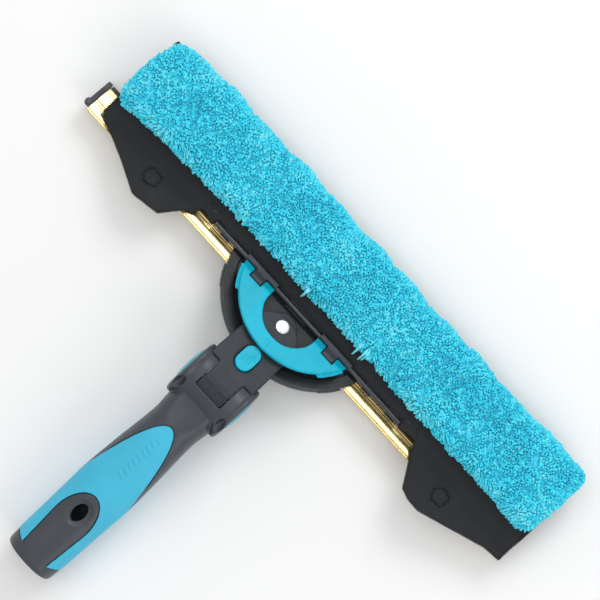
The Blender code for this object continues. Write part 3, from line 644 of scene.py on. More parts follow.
def make_grip():
    """The charcoal core with its fork and socket, and the soft skin that lies in its recess."""
    core = grip_form("grip_core_fine")
    disc = turned("cheek", CHEEK + [(r, -x) for r, x in reversed(CHEEK)], 96, True)
    points = points_of(disc)
    points[:, 1] *= np.where((points[:, 1] < 0) & (np.abs(points[:, 0]) > 15), 1.12, 1.0)
    set_points(disc, points)
    soften(merge(core, disc), JOIN_VOXEL, 0)
    room = [(40, 40), (-2.9, 40)] + arc((0, 0), BARREL_RADIUS + 0.35, 100.4, 259.6, 48)
    room += [(-2.9, -40), (40, -40)]
    recess = prism("recess", skin_outline(SKIN_GAP), -30, 30)
    cut(recess, grip_form("recess_inside", 2.0, 10.0), *flank_tongues(SKIN_GAP))
    cut(core, recess, prism("fork_room", room, -FORK_HALF, FORK_HALF, True))
    for way in (-1, 1):
        pocket = peg(12.9, 15.4, 30, 64, True)
        ball = [(3.2 * math.sin(t), -3.2 * math.cos(t)) for t in np.linspace(0, math.pi, 16)]
        scoop = turned("scoop", ball, 32)
        scoop.data.transform(Matrix.Diagonal((0.90, 2.1, 1.35, 1.0)))
        if way < 0:
            mirror_x(pocket)
        cut(core, pocket, moved(scoop, way * 16.8, -10.8, 15.0))
    hole = peg(1, 0, 40)
    hole.data.transform(Matrix.Diagonal((3.9, 6.2, 1.0, 1.0)))
    bowl = turned("bowl", [(0, 15.6), (7.2, 15.9), (8.4, 16.9), (9.4, 20), (0, 20)], 64)
    socket = prism("socket", circle((0, 0), SOCKET_RADIUS, 72), 0, SOCKET_DEPTH + 5)
    socket.data.transform(Matrix.Rotation(math.radians(-90), 4, "X"))
    cut(core, moved(socket, y=-150.8), moved(hole, y=-LOCK_HOLE_AT), moved(bowl, y=-LOCK_HOLE_AT))
    cut(core, peg(PIN_BORE, -30, 30, along_x=True))
    soften(core, 0.45, 3)
    place(core, GRIP, "grip", "grip")

    skin = prism("grip_skin_fine", skin_outline(), -30, 30)
    combine(skin, grip_form("skin_outside", -0.25), "INTERSECT")
    cut(skin, grip_form("skin_inside", 1.75, 10.0), *flank_tongues())
    soften(skin, 0.40, 4)
    emboss(skin, grip_bars, 0.3)
    place(skin, GRIP, "grip", "skin")


def make_tilt_buttons():
    for side, way in (("left", -1), ("right", 1)):
        profile = [(0, 17.8), (11.4, 17.8), (12.5, 18.1), (12.6, 19.2)]
        profile += [(12.6 * math.cos(t), 19.2 + 2.5 * math.sin(t)) for t in np.linspace(0.1, 1.1, 10)]
        profile += [(5.0, 21.3), (4.4, 21.0), (0, 20.9)]
        cap = turned(f"tilt_button_{side}_fine", profile, 96, True)
        if way < 0:
            mirror_x(cap)
        place(cap, GRIP, f"{side}_button", "aqua")


# ---------------------------------------------------------------- neck


def neck_outline():
    right = [(17.0, -45.0), (17.2, -36.0), (17.1, -28.0), (16.6, -18.0)] + arc((0, -10.4), 16.6, 0, 90, 32)
    return mirrored(right)


def neck_relief(x, y):
    """Two shallow pockets and a notched ridge at the foot of the tongue, and a dip round the button."""
    pockets = sum(bump(x - way * 5.3, 2.7, 0.35) for way in (-1, 1)) * bump(y + 58.4, 1.5, 0.35)
    ridge = bump(y + 55.2, 0.35, 0.7) * bump(x, 8.2, 0.5) * (1 - bump(x, 1.0, 0.6))
    dip = bump(np.hypot(x, np.clip(np.abs(y + 29.1) - 2.8, 0, None)), 6.0, 1.6)
    return -0.5 * pockets + 0.3 * ridge - 0.25 * dip


def make_neck():
    neck = prism("neck_fine", neck_outline(), 4.4, 10.4)
    barrel = arc((TILT_Y, TILT_Z), BARREL_RADIUS, 90, 345, 72)
    web = [(-33.2, 10.4)] + barrel + [(-35.8, -9.0), (-33.2, 5.4)]
    for way in (-1, 1):
        room = prism("room", circle((TILT_Y, TILT_Z), 16.95, 64), *sided(way, 9.9, 30), True)
        behind = prism("behind", rectangle(-90, -40, -48.8, 40), *sided(way, 9.9, 30), True)
        cut(neck, room, behind)
        shoulder = [(-33.2, 10.1)] + arc((TILT_Y, TILT_Z), 17.2, 61.0, 16.7, 24) + [(-33.2, -1.0)]
        merge(neck, prism("shoulder", shoulder, *sided(way, 7.8, 16.9), True))
    merge(neck, prism("tongue", web, -9.8, 9.8, True))
    merge(neck, peg(11.0, 2.6, 5.4, 64))
    soften(neck, JOIN_VOXEL, 0)
    cut(neck, peg(BOLT_BORE, -10, 30),
        moved(peg(PIN_BORE, -30, 30, along_x=True), y=TILT_Y, z=TILT_Z),
        prism("pocket", stadium(5.95, -38.45, -20.35), 6.0, 20))
    soften(neck, 0.36, 4)
    emboss(neck, neck_relief)
    place(neck, HEAD, "neck", "charcoal")

    button = prism("swivel_button_fine", stadium(5.5, -38.0, -20.8, 24), 8.3, 11.6)
    soften(button, 0.22, 6)
    emboss(button, lambda x, y: 0.16 * padlock(x, y + 28.6, 1.5, True) - 0.25 * np.clip(-31 - y, 0, 6) / 6)
    place(button, HEAD, "lock_button", "aqua")


def padlock(x, y, size, is_open):
    """Height mask of a plain padlock sign about (0, 0): a body with a keyhole, and a shackle above it."""
    body = bump(x, 1.5 * size, 0.25) * bump(y + 1.2 * size, 1.1 * size, 0.25)
    keyhole = bump(np.hypot(x, y + 1.2 * size), 0.25 * size, 0.25)
    middle = 1.4 * size if is_open else 0.0
    ring = bump(np.hypot(x - middle, y - 0.3 * size) - 1.0 * size, 0.18 * size, 0.25)
    ring *= np.clip((y + 0.2 * size) / 0.3, 0, 1)
    return np.clip(body - keyhole + ring, 0, 1)


# ---------------------------------------------------------------- head


def disc_outline(inset, front):
    """The head's disc, inset from its edge and cut straight along its front."""
    radius = DISC_RADIUS - inset
    lean = math.degrees(math.asin((DISC_Y - front) / radius))
    return arc((0, DISC_Y), radius, 180 + lean, 360 - lean, 96)


def make_head_plates():
    plate = prism("head_front_plate_fine", disc_outline(0.0, PLATE_FRONT), 0.3, RIM_TOP)
    cut(plate, prism("floor", disc_outline(RIM_WIDTH, PLATE_FRONT + 8), PLATE_FLOOR, 20),
        prism("lip", rectangle(-90, 13.0, 90, 30), 1.6, 20),
        peg(BOLT_BORE, -10, 30))
    soften(plate, 0.36, 3)
    place(plate, HEAD, "head", "dark")

    rings = []
    for z, inset in SHELL_SECTIONS:
        rings.append([(x, y, z) for x, y in disc_outline(inset, SHELL_FRONT - inset)])
    shell = loft("head_back_shell_fine", rings)
    for way in (-1, 1):
        for step in range(3):
            middle = 270 + way * (52.6 + 6.6 * step)
            outside = arc((0, DISC_Y), DISC_RADIUS + 0.7, middle - 3.1, middle + 3.1, 8)
            inside = arc((0, DISC_Y), DISC_RADIUS - 2, middle + 3.9, middle - 3.9, 8)
            merge(shell, prism("finger_rib", outside + inside, -3.6, -0.5))
    soften(shell, JOIN_VOXEL, 0)
    cut(shell, prism("channel_room", rectangle(6.2, -6.3, 60, 10), -90, 90, True),
        peg(BOLT_BORE, -30, 10))
    soften(shell, 0.42, 3)
    place(shell, HEAD, "head", "shell")


def make_bolt():
    dome = [(4.2 * math.sin(t), 10.9 + 0.7 * math.cos(t)) for t in np.linspace(0, math.pi / 2, 12)]
    profile = dome + [(4.2, 10.75), (2.6, 10.7), (2.6, -15.2), (0, -15.2)]
    place(turned("swivel_bolt_fine", profile, 72), HEAD, "head", "steel")
    washer = prism("swivel_washer_fine", circle((0, 0), 8.0, 64), -13.2, -12.35)
    cut(washer, peg(BOLT_BORE, -40, 0))
    place(washer, HEAD, "head", "steel")
    nut = prism("tension_nut_fine", circle((0, 0), 6.2, 6), -16.4, -13.5)
    cone = turned("nut_form", [(0, -16.4), (5.0, -16.4), (6.4, -15.6), (6.4, -13.4), (0, -13.4)], 64)
    combine(nut, cone, "INTERSECT")
    cut(nut, peg(BOLT_BORE, -40, 0))
    place(nut, HEAD, "head", "steel", angle=30)


def lever_mark(x, y):
    crease = bump(y - 7.0, 0.1, 1.0)
    return 0.15 * padlock(x, y + 15.2, 1.2, False) - 0.12 * crease


def make_lever():
    """The aqua clamp lever: a crescent on two hinge pins, with a finger rest on each side."""
    axis_y, axis_z = LEVER_AXIS
    lean = math.degrees(math.asin((LEVER_Y - 15.6) / LEVER_RADIUS))
    outside = arc((0, LEVER_Y), LEVER_RADIUS, 180 + lean, 360 - lean, 120)
    inside = arc((0, LEVER_HOLE_Y), LEVER_HOLE_RADIUS, 0, -180, 64)
    plan = outside + [(LEVER_RADIUS, 30.0), (LEVER_HOLE_RADIUS, 30.0)] + inside
    plan += [(-LEVER_HOLE_RADIUS, 30.0), (-LEVER_RADIUS, 30.0)]
    barrel = arc((axis_y, axis_z), 1.95, 60, -140, 24)
    section = [(-22.0, 15.1), (7.4, 13.3)] + barrel + [(4.6, 11.0), (-22.0, 12.5)]
    lever = prism("clamp_lever_fine", plan, -5, 25)
    combine(lever, prism("section", section, -60, 60, True), "INTERSECT")
    for way in (-1, 1):
        start, end = 270 + way * 50, 270 + way * 71
        rest = arc((0, LEVER_Y), LEVER_RADIUS + 1.8, start, end, 24)
        rest += arc((0, LEVER_Y), LEVER_RADIUS - 1.6, end, start, 24)
        merge(lever, prism("finger_rest", rest, 10.8, 12.0))
    soften(lever, 0.6, 0)
    for way in (-1, 1):
        notch = sided(way, TAB[0] - 0.55, TAB[1] + 0.55)
        cut(lever, prism("notch", rectangle(axis_y - 7.0, -10, 30, 30), *notch, True))
    soften(lever, 0.30, 4)
    emboss(lever, lever_mark)
    place(lever, HEAD, "lever", "aqua")


def make_brackets():
    clip = [(14.7, 2.6), (18.0, 2.6), (18.4, 3.2), (18.4, 6.9), (17.6, 7.8), (15.4, 7.8), (14.7, 7.3)]
    tab = [(6.6, 2.6), (15.2, 2.6), (15.2, 6.6), (14.7, 7.0), (9.8, 10.2), (8.0, 10.3), (6.6, 9.4)]
    for side, way in (("left", -1), ("right", 1)):
        low, high = sided(way, *KNUCKLE)
        bracket = prism(f"pad_bracket_{side}_fine", clip, low, high, True)
        merge(bracket, prism("tab", tab, *sided(way, *TAB), True))
        soften(bracket, 0.30, 0)
        bore = peg(1.8, low - 5, high + 5, 40, True)
        pin = peg(1.25, low - 5, high + 5, 24, True)
        cut(bracket, moved(bore, y=ROD[0], z=ROD[1]), moved(pin, y=LEVER_AXIS[0], z=LEVER_AXIS[1]),
            prism("mouth", rectangle(10, 3.7, 16.0, 6.7), low - 5, high + 5, True))
        soften(bracket, 0.24, 4)
        place(bracket, HEAD, "head", "shell")


# ---------------------------------------------------------------- channel, rubber, clips


def rounded(outline, radius, steps=4):
    """The outline with each corner cut back to a small arc, shorter where its sides are short."""
    done = []
    count = len(outline)
    for i in range(count):
        before, at, after = (Vector(outline[(i + k) % count]) for k in (-1, 0, 1))
        reach = min(radius, 0.4 * (before - at).length, 0.4 * (after - at).length)
        start = at + (before - at).normalized() * reach
        end = at + (after - at).normalized() * reach
        for step in range(steps + 1):
            t = step / steps
            done.append(tuple(start * (1 - t) ** 2 + at * 2 * t * (1 - t) + end * t ** 2))
    return done


def bar(name, section, start, end, ease=0.25, pieces=60):
    """A bar along x with a section in y, z and slightly eased ends."""
    middle = Vector([sum(p[i] for p in section) / len(section) for i in (0, 1)])
    rings = []
    places = [start, start + ease, *np.linspace(start + 2, end - 2, pieces), end - ease, end]
    for i, x in enumerate(places):
        shrink = 0.985 if i in (0, len(places) - 1) else 1.0
        rings.append([(x, *(middle + (Vector(p) - middle) * shrink)) for p in section])
    return loft(name, rings)


def channel_section():
    """Rear bead, groove, band, ridge and broad face, with a keyhole slot that opens to the front."""
    top = [(6.6, -1.1), (6.6, -0.5), (6.9, 0.0), (7.2, 0.0), (7.4, -0.9), (8.0, -0.9), (8.2, 0.0),
           (12.3, 0.0), (12.5, -0.9), (13.9, -0.9), (14.1, -0.05), (15.0, -0.05), (15.2, -0.9),
           (15.8, -0.9), (16.0, 0.0), (26.5, 0.0), (26.5, -1.5)]
    below = [(26.5, -4.5), (26.5, -6.0), (9.6, -6.0), (9.0, -5.4)]
    return rounded(top, 0.12, 2) + arc((16.5, -3.0), 2.5, 37, 323, 24) + rounded(below, 0.2, 2)


def clip_ridges(x, y):
    """Small ridges across the top of an end clip, for the fingers."""
    row = (y - 14.0) / 1.4
    return 0.25 * bump(row - np.round(row), 0.15, 0.2) * bump(y - 18, 5, 1)


def make_channel():
    channel = bar("channel_fine", channel_section(), CHANNEL_FROM, CHANNEL_TO, 0.2)
    place(channel, HEAD, "head", "gold", angle=30)
    bead = arc((16.5, -3.0), 2.2, 33, 327, 24)
    section = bead + [(28.6, -4.2), (29.9, -4.0), (30.2, -3.7), (30.2, -2.3), (29.9, -2.0), (28.6, -1.8)]
    blade = bar("rubber_blade_fine", section, CHANNEL_FROM + 0.3, CHANNEL_TO - 0.3, 0.1)
    place(blade, HEAD, "head", "rubber", angle=30)
    profile = [(8.4, 0.5), (8.0, 0.0), (10.6, -5.6), (29.4, -5.6), (29.4, 0.1), (28.8, 0.5)]
    for side, way, face in (("left", -1, CHANNEL_FROM), ("right", 1, CHANNEL_TO)):
        inner, outer = face + way * 0.35, face + way * 3.4
        clip = prism(f"end_clip_{side}_fine", profile, *sorted((inner, outer)), True)
        middle = (inner + outer) / 2
        knob = turned("knob", [(0, -2), (2.1, -2), (2.1, 0.6), (1.7, 0.95), (0, 0.95)], 32)
        merge(clip, moved(knob, middle + way * 0.7, 11.0))
        soften(clip, 0.22, 4)
        emboss(clip, clip_ridges)
        place(clip, HEAD, "head", "clip")


# ---------------------------------------------------------------- pad


def make_pad_frame():
    """The hinge rod and the plate that carries the pad, with hooks under the rod."""
    rod = bar("pad_rod_fine", arc((0, 0), ROD_RADIUS, 0, 351, 39), -70.0, 86.0, 0.4, 20)
    place(rod, PAD, "pad", "rail")
    section = rounded(rectangle(4.4, -1.4, PLATE_END, 0.6), 0.5)
    plate = bar("pad_plate_fine", section, PAD_FROM + 6, PAD_TO - 6, 0.4, 12)
    for low, high in ((-64.0, -57.0), (-8.0, 8.0), (56.0, 63.0), (76.0, 83.0)):
        hook = arc((0, 0), 2.7, 190, 350, 24) + arc((0, 0), 1.85, 350, 190, 24)
        merge(plate, prism("hook", hook, low, high, True))
        merge(plate, prism("arm", rectangle(1.9, -1.4, 5.5, 0.2), low, high, True))
    place(plate, PAD, "pad", "dark", angle=30)


def padded_core():
    """The pad's filling: a rounded bar swollen by cloth simulation, flat where it lies on the backing."""
    section = [(PAD_BACK + 2.6, 3.6), (52.8, 3.6), (53.1, -2.0), (54.9, -3.6), (57.3, -2.6), (57.9, 0.5),
               (57.9, 5.6), (55.5, 8.6), (50.9, 9.6), (15.6, 9.6), (12.6, 8.4), (PAD_BACK + 2.2, 6.2)]
    core = bar("pad_core", rounded(section, 2.0), PAD_FROM + 3.0, PAD_TO - 3.0, 1.2)
    soften(core, 4.0, 0)
    start = points_of(core)
    core.data.transform(Matrix.Scale(MM, 4))
    cloth = core.modifiers.new("cloth", "CLOTH").settings
    cloth.use_pressure, cloth.uniform_pressure_force = True, 4.0
    cloth.effector_weights.gravity = 0.0
    for number in range(1, SIMULATED_FRAMES + 1):
        bpy.context.scene.frame_set(number)
    apply_modifiers(core)
    bpy.context.scene.frame_set(1)
    core.data.transform(Matrix.Scale(1 / MM, 4))
    change = points_of(core) - start
    length = np.linalg.norm(change, axis=1, keepdims=True) + 1e-9
    return set_points(core, start + change * np.minimum(1.0, SWELL_LIMIT / length))


def make_pad_core():
    """The filling with its outline as in the photo: hollow ends, a bowed rear edge and a wavy front."""
    core = padded_core()
    refine = core.modifiers.new("refine", "SUBSURF")
    refine.levels = refine.render_levels = 1
    apply_modifiers(core)
    points = points_of(core)
    inner = points[:, 1] < 52.3
    points[:, 2] = np.where(inner, np.maximum(points[:, 2], 3.5), points[:, 2])
    x, y = points[:, 0].copy(), points[:, 1].copy()
    points[:, 2] += (0.8 * field(points, 0.075, 31) - 0.2) * np.clip((points[:, 2] - 4.5) / 3, 0, 1)
    left = np.interp(y, (8, 17, 31, 54), (1.7, 0.2, -1.3, 2.3)) * np.clip((PAD_FROM + 15 - x) / 10, 0, 1)
    right = np.interp(y, (7, 12, 28, 51), (3.0, 1.6, -0.3, 0.4)) * np.clip((x - PAD_TO + 15) / 10, 0, 1)
    points[:, 0] += left - right
    rear = np.interp(x, (-165, -150, -114, -57, 44, 60, 170), (3.6, 4.0, 2.1, 0.0, 0.0, 1.2, 1.5))
    points[:, 1] -= rear * np.clip((32 - y) / 20, 0, 1)
    front = 0.6 * np.sin(x / 11.0) + 0.6 * np.sin(x / 4.7 + 1.0)
    front += np.interp(x, (-165, -120, -60, 184), (-2.0, 0.6, 1.2, 0.8))
    points[:, 1] += front * np.clip((y - 44) / 10, 0, 1)
    return set_points(core, points)


def creases():
    """The partings in the pile: diagonal lines that zig-zag along the pad, the strong ones gaping."""
    rng = np.random.default_rng(11)
    lines = []
    x, way = PAD_FROM + 16.0, 1
    while x < PAD_TO - 12:
        y = rng.uniform(18.0, 46.0)
        strength = rng.choice((0.35, 0.55, 1.0))
        length = rng.uniform(4.0, 9.0) if strength == 1.0 else rng.uniform(9.0, 24.0)
        angle = math.radians(90 + way * rng.uniform(10, 50))
        half = Vector((math.cos(angle), math.sin(angle))) * length / 2
        lines.append((Vector((x, y)) - half, Vector((x, y)) + half, strength))
        x += rng.uniform(5.0, 13.0)
        way = -way if rng.random() < 0.8 else way
    return lines


def parting(points):
    """For each point: the direction away from the nearest parting, and how strongly it leans that way."""
    best = np.full(len(points), 1e9)
    away = np.zeros((len(points), 2))
    force = np.zeros(len(points))
    for a, b, strength in creases():
        start, along = np.array(a), np.array(b - a)
        t = np.clip(((points - start) @ along) / (along @ along), 0, 1)
        offset = points - (start + t[:, None] * along)
        distance = np.linalg.norm(offset, axis=1)
        near = distance < best
        best = np.where(near, distance, best)
        away[near] = offset[near] / (distance[near, None] + 1e-6)
        force[near] = strength
    return away, best, force


def scatter(obj, spacing, rng, tries=9):
    """Points spread evenly over the faces of obj, with the face normals there."""
    mesh = obj.data
    mesh.calc_loop_triangles()
    tris = triples(mesh.loop_triangles, "vertices", np.int32)
    points, normals = points_of(obj), normals_of(obj)
    a, b, c = (points[tris[:, i]] for i in range(3))
    areas = np.linalg.norm(np.cross(b - a, c - a), axis=1) / 2
    count = int(areas.sum() / spacing ** 2 * tries)
    pick = rng.choice(len(tris), count, p=areas / areas.sum())
    u, v = rng.random(count), rng.random(count)
    flip = u + v > 1
    u[flip], v[flip] = 1 - u[flip], 1 - v[flip]
    weight = np.stack([1 - u - v, u, v], axis=1)
    where = (points[tris[pick]] * weight[:, :, None]).sum(axis=1)
    facing = (normals[tris[pick]] * weight[:, :, None]).sum(axis=1)
    taken, kept = {}, []
    around = list(itertools.product((-1, 0, 1), repeat=3))
    for i, (x, y, z) in enumerate(where):
        i_x, i_y, i_z = int(x // spacing), int(y // spacing), int(z // spacing)
        near = (p for dx, dy, dz in around for p in taken.get((i_x + dx, i_y + dy, i_z + dz), ()))
        if all((x - a) ** 2 + (y - b) ** 2 + (z - c) ** 2 > spacing ** 2 for a, b, c in near):
            taken.setdefault((i_x, i_y, i_z), []).append((x, y, z))
            kept.append(i)
    facing = facing[kept]
    return where[kept], facing / np.linalg.norm(facing, axis=1, keepdims=True)


def unit(vectors):
    return vectors / (np.linalg.norm(vectors, axis=1, keepdims=True) + 1e-9)


def yarn_mesh(name, paths, radii, tints, rises, sides=4):
    """Short yarns as one mesh. Each path is a row of points, and radii gives the yarn's radius at each."""
    count, steps = paths.shape[:2]
    along = unit(paths[:, -1] - paths[:, 0])
    across = unit(np.cross(along, np.array([0.31, 0.17, 0.93])))
    other = np.cross(along, across)
    angles = np.linspace(0, math.tau, sides, endpoint=False)
    ring = across[:, None] * np.cos(angles)[None, :, None] + other[:, None] * np.sin(angles)[None, :, None]
    verts = paths[:, :, None] + ring[:, None] * radii[:, :, None, None]
    per = steps * sides
    faces = [(s * sides + k, s * sides + n, (s + 1) * sides + n, (s + 1) * sides + k)
             for s in range(steps - 1) for k, n in zip(range(sides), [*range(1, sides), 0])]
    offset = np.arange(count)[:, None] * per
    quads = (np.ravel(faces) + offset).ravel()
    ends = (np.arange(per - sides, per) + offset).ravel()
    mesh = bpy.data.meshes.new(name)
    mesh.vertices.add(count * per)
    mesh.vertices.foreach_set("co", verts.reshape(-1).astype(np.float32))
    loops = np.concatenate([quads, ends])
    totals = np.concatenate([np.full(len(quads) // 4, 4), np.full(count, sides)])
    mesh.loops.add(len(loops))
    mesh.loops.foreach_set("vertex_index", loops.astype(np.int32))
    mesh.polygons.add(len(totals))
    mesh.polygons.foreach_set("loop_start", np.concatenate([[0], np.cumsum(totals)[:-1]]).astype(np.int32))
    mesh.update(calc_edges=True)
    mesh.validate()
    for key, values in (("tint", np.repeat(tints, per)), ("rise", np.tile(np.repeat(rises, sides), count))):
        mesh.attributes.new(key, "FLOAT", "POINT").data.foreach_set("value", values.astype(np.float32))
    return new_object(name, mesh)


def field(points, scale, seed):
    """Smooth noise at each point, from about -1 to 1."""
    shift = Vector((seed * 17.3, seed * 7.9, seed * 3.1))
    return np.array([noise.noise(Vector(p) * scale + shift) for p in points]) * 1.7


def slope(points, scale, seed):
    """The direction in x and y in which the smooth noise at each point rises."""
    step = 0.4
    rises = [field(points + shift, scale, seed) - field(points - shift, scale, seed)
             for shift in (np.array((step, 0, 0)), np.array((0, step, 0)))]
    return np.stack(rises, axis=1) / (2 * step * scale)


def yarn_lean(roots, lying, parted, outward):
    """How far each yarn leans over: with its clump, swept along the rear edge, away from a parting."""
    lean = np.zeros((len(roots), 3))
    lean[:, :2] = 0.34 * slope(roots, 0.24, 2) * (1 - 0.6 * lying)[:, None]
    swept = np.tanh(3.0 * field(roots, 0.045, 9)) + 0.5 * field(roots, 0.2, 10)
    lean[:, 0] += 0.6 * field(roots, 0.07, 1) + 2.6 * swept * lying
    lean[:, 1] += 0.6 * field(roots, 0.07, 3) + (1.1 * field(roots, 0.16, 8) - 0.5) * lying
    lean[:, :2] += parted
    lean[:, 0] += outward
    return lean


def make_pile(core):
    """Thousands of short yarns that lean in clumps, part along the creases and lie down at the rear edge."""
    rng = np.random.default_rng(5)
    roots, normals = scatter(core, YARN_SPACING, rng)
    away, near, force = parting(roots[:, :2])
    crown = np.clip(normals[:, 2], 0, 1)
    in_parting = (near < 0.45) & (force > 0.9) & (crown > 0.7)
    keep = ((roots[:, 2] > 3.9) | (roots[:, 1] > 54.2)) & ~in_parting
    roots, normals, away, near, force, crown = (a[keep] for a in (roots, normals, away, near, force, crown))
    count = len(roots)
    open_up = np.exp(-(near / 2.0) ** 2) * force * crown
    edge = edge_share(roots)
    lying = edge["rear"] * crown
    lean = yarn_lean(roots, lying, away * (1.1 * open_up)[:, None], 0.5 * edge["sides"])
    clump = field(roots, 0.24, 2)
    length = 2.7 + 0.55 * clump + rng.normal(0, 0.25, count) + 2.6 * lying - 0.9 * edge["face"]
    length = np.clip(length - 1.2 * open_up, 1.6, 7.0)
    direction = unit(normals + lean * 0.6)
    curl = rng.normal(0, 0.70, (count, 3))
    middle = roots + direction * (length * 0.5)[:, None] + normals * 0.4
    tip = middle + unit(direction + lean * 0.3 + curl) * (length * 0.5)[:, None]
    rises = np.array([0.0, 0.5, 0.88, 1.0])
    t = rises[None, :, None]
    start = (roots - normals * 0.8)[:, None]
    paths = start * (1 - t) ** 2 + 2 * t * (1 - t) * middle[:, None] + tip[:, None] * t ** 2
    paths[:, :, 2] = np.where(paths[:, :, 1] < 53.3, np.maximum(paths[:, :, 2], 3.9), paths[:, :, 2])
    width = rng.uniform(0.62, 0.84, count) * (1 - 0.2 * lying)
    radii = width[:, None] * np.array([0.9, 1.05, 0.95, 0.4])[None]
    # Each yarn's tint: random tone, lighter where the yarns lie at the rear edge, and painted shade that
    # darkens the yarns along the strong partings.
    tints = np.clip(0.48 + 0.12 * clump + 0.14 * field(roots, 0.05, 7) + rng.normal(0, 0.12, count)
                    + 0.22 * lying - 0.45 * np.exp(-(near / 1.6) ** 2) * force, 0, 1)
    along = (roots[:, 0] - PAD_FROM) / (PAD_TO - PAD_FROM)
    parts = np.clip((along * PILE_STRIPS).astype(int), 0, PILE_STRIPS - 1)
    for part in range(PILE_STRIPS):
        chosen = parts == part
        strip = yarn_mesh(f"pile_strip_{part + 1}", paths[chosen], radii[chosen], tints[chosen], rises)
        place(strip, PAD, "pad", "pile", angle=180)


def make_loose_yarns():
    """A few longer strands that hang over the black strip, and the blank tag at the pad's corner."""
    t = np.linspace(0, 1, 6)
    height = 9.6 - 5.0 * np.clip((t - 0.35) / 0.65, 0, 1) ** 1.5 + 1.2 * np.sin(math.pi * t)
    paths = np.array([np.stack([x + drift * np.sin(2.4 * t), root + (tip - root) * t, height], axis=1)
                      for x, root, tip, drift in LOOSE_YARNS])
    radii = np.tile(0.85 - 0.25 * t, (len(paths), 1))
    strands = yarn_mesh("loose_yarns", paths, radii, np.full(len(paths), 0.85), np.full(6, 0.8), 6)
    place(strands, PAD, "pad", "pile", angle=180)
    tag = prism("blank_tag", [(-162.0, 50.6), (-158.0, 50.2), (-158.0, 54.6), (-161.2, 54.4)], 1.2, 1.9)
    soften(tag, 0.2, 4)
    place(tag, PAD, "pad", "cloth", angle=60)


def edge_share(roots):
    """How far each root belongs to the pad's rear edge, and to its left (-) or right (+) end."""
    x, y = roots[:, 0], roots[:, 1]
    right, left = np.clip((x - PAD_TO + 11) / 8, 0, 1), np.clip((PAD_FROM + 11 - x) / 8, 0, 1)
    face = np.clip((PAD_BACK + 5.0 - y) / 3.0, 0, 1)
    return {"rear": np.clip((PAD_BACK + 11.0 - y) / 6.0, 0, 1), "sides": right - left, "face": face}


def make_pad():
    core = make_pad_core()
    make_pile(core)
    make_loose_yarns()
    for key, value in (("tint", 0.6), ("rise", 0.6)):
        data = core.data.attributes.new(key, "FLOAT", "POINT").data
        data.foreach_set("value", np.full(len(data), value, np.float32))
    place(core, PAD, "pad", "pile", ["pad_microfibre"])


# ---------------------------------------------------------------- black fabric

LEFT_EAR = ((-160.8, 12.2), (-151.0, 7.6), (-132.4, 0.0), (-115.0, -8.6), (-112.6, -8.7), (-96.6, -5.6),
            (-88.4, 7.2), (-83.2, 12.1), (-78.0, 20.3))
RIGHT_EAR = ((94.6, 20.3), (99.8, 15.6), (107.0, 3.6), (114.4, -8.4), (121.0, -10.6), (129.4, -11.0),
             (142.5, -6.2), (171.0, 4.4), (182.0, 5.6))
SNAPS = ((-113.8, 6.6), (132.6, 5.0))
FABRIC_THICKNESS = 0.7
BEND_FROM, BEND_TO = 9.0, 19.0
STITCH_LINE, STITCH_PITCH = 18.6, 4.2


def cloth_sheet(name, points, columns, rows):
    """A sheet of cloth through points that are sorted column by column."""
    faces = [(i * rows + j, i * rows + j + 1, (i + 1) * rows + j + 1, (i + 1) * rows + j)
             for i in range(columns - 1) for j in range(rows - 1)]
    sheet = shape(name, points, faces)
    thick = sheet.modifiers.new("thick", "SOLIDIFY")
    thick.thickness, thick.offset = FABRIC_THICKNESS, 0.0
    return apply_modifiers(sheet)


def fabric_height(y):
    """Height of the fabric in HEAD coordinates: flat on the channel, then up over the hinge to the pad."""
    pad_line = ROD[1] + FABRIC_Z / math.cos(HEAD_SLOPE) + (y - ROD[0]) * math.tan(HEAD_SLOPE)
    rise = smooth((y - BEND_FROM) / (BEND_TO - BEND_FROM))
    return 1.9 * (1 - rise) + pad_line * rise


def wrinkles(x, y):
    """Height of the cloth's soft waves, and of the snap and the dented ring round it in each ear."""
    points = np.stack([x, y, np.zeros_like(x)], axis=1)
    soft = 0.35 * field(points, 0.045, 12) + 0.14 * field(points * (1.0, 0.5, 1.0), 0.16, 13)
    for snap_x, snap_y in SNAPS:
        dx, dy = x - snap_x, y - snap_y
        distance = (np.abs(dx) ** 3 + np.abs(dy) ** 3) ** (1 / 3)
        angle = np.arctan2(dy, dx)
        ragged = distance + 0.35 * np.cos(5 * angle + snap_x) + 0.25 * np.cos(11 * angle)
        soft = soft + bump(ragged, 3.6, 1.0) - 1.2 * np.exp(-((ragged - 4.9) / 0.5) ** 2)
        soft = soft + 0.7 * np.exp(-((ragged - 6.2) / 0.6) ** 2)
        soft = soft + 0.35 * np.cos(9 * angle + 1.3) * np.exp(-((distance - 6.8) / 2.0) ** 2)
    return soft


def fabric_edge(x):
    """The fabric's rear edge: the two ears and the strip between them, in front of the hinge rod."""
    corners = LEFT_EAR + RIGHT_EAR
    return np.interp(x, [p[0] for p in corners], [p[1] for p in corners])


def strip_rear(x):
    """Rear edge of the strip between the ears: in front of the hinge rod and of the two brackets, and beyond
    the rod's ends reaching further back over the channel as painted shade.
    """
    middle = sum(KNUCKLE) / 2
    shade_cover = 1 - bump(x - 8.0, 78.6, 0.8)
    # Painted shade: beyond the rod's ends the black cloth reaches 2.6 further back, standing in for the
    # channel's dark reflection there.
    return ROD[0] + 1.9 + 0.9 * bump(np.abs(x) - middle, KNUCKLE[1] - middle + 0.5, 0.6) - 2.6 * shade_cover


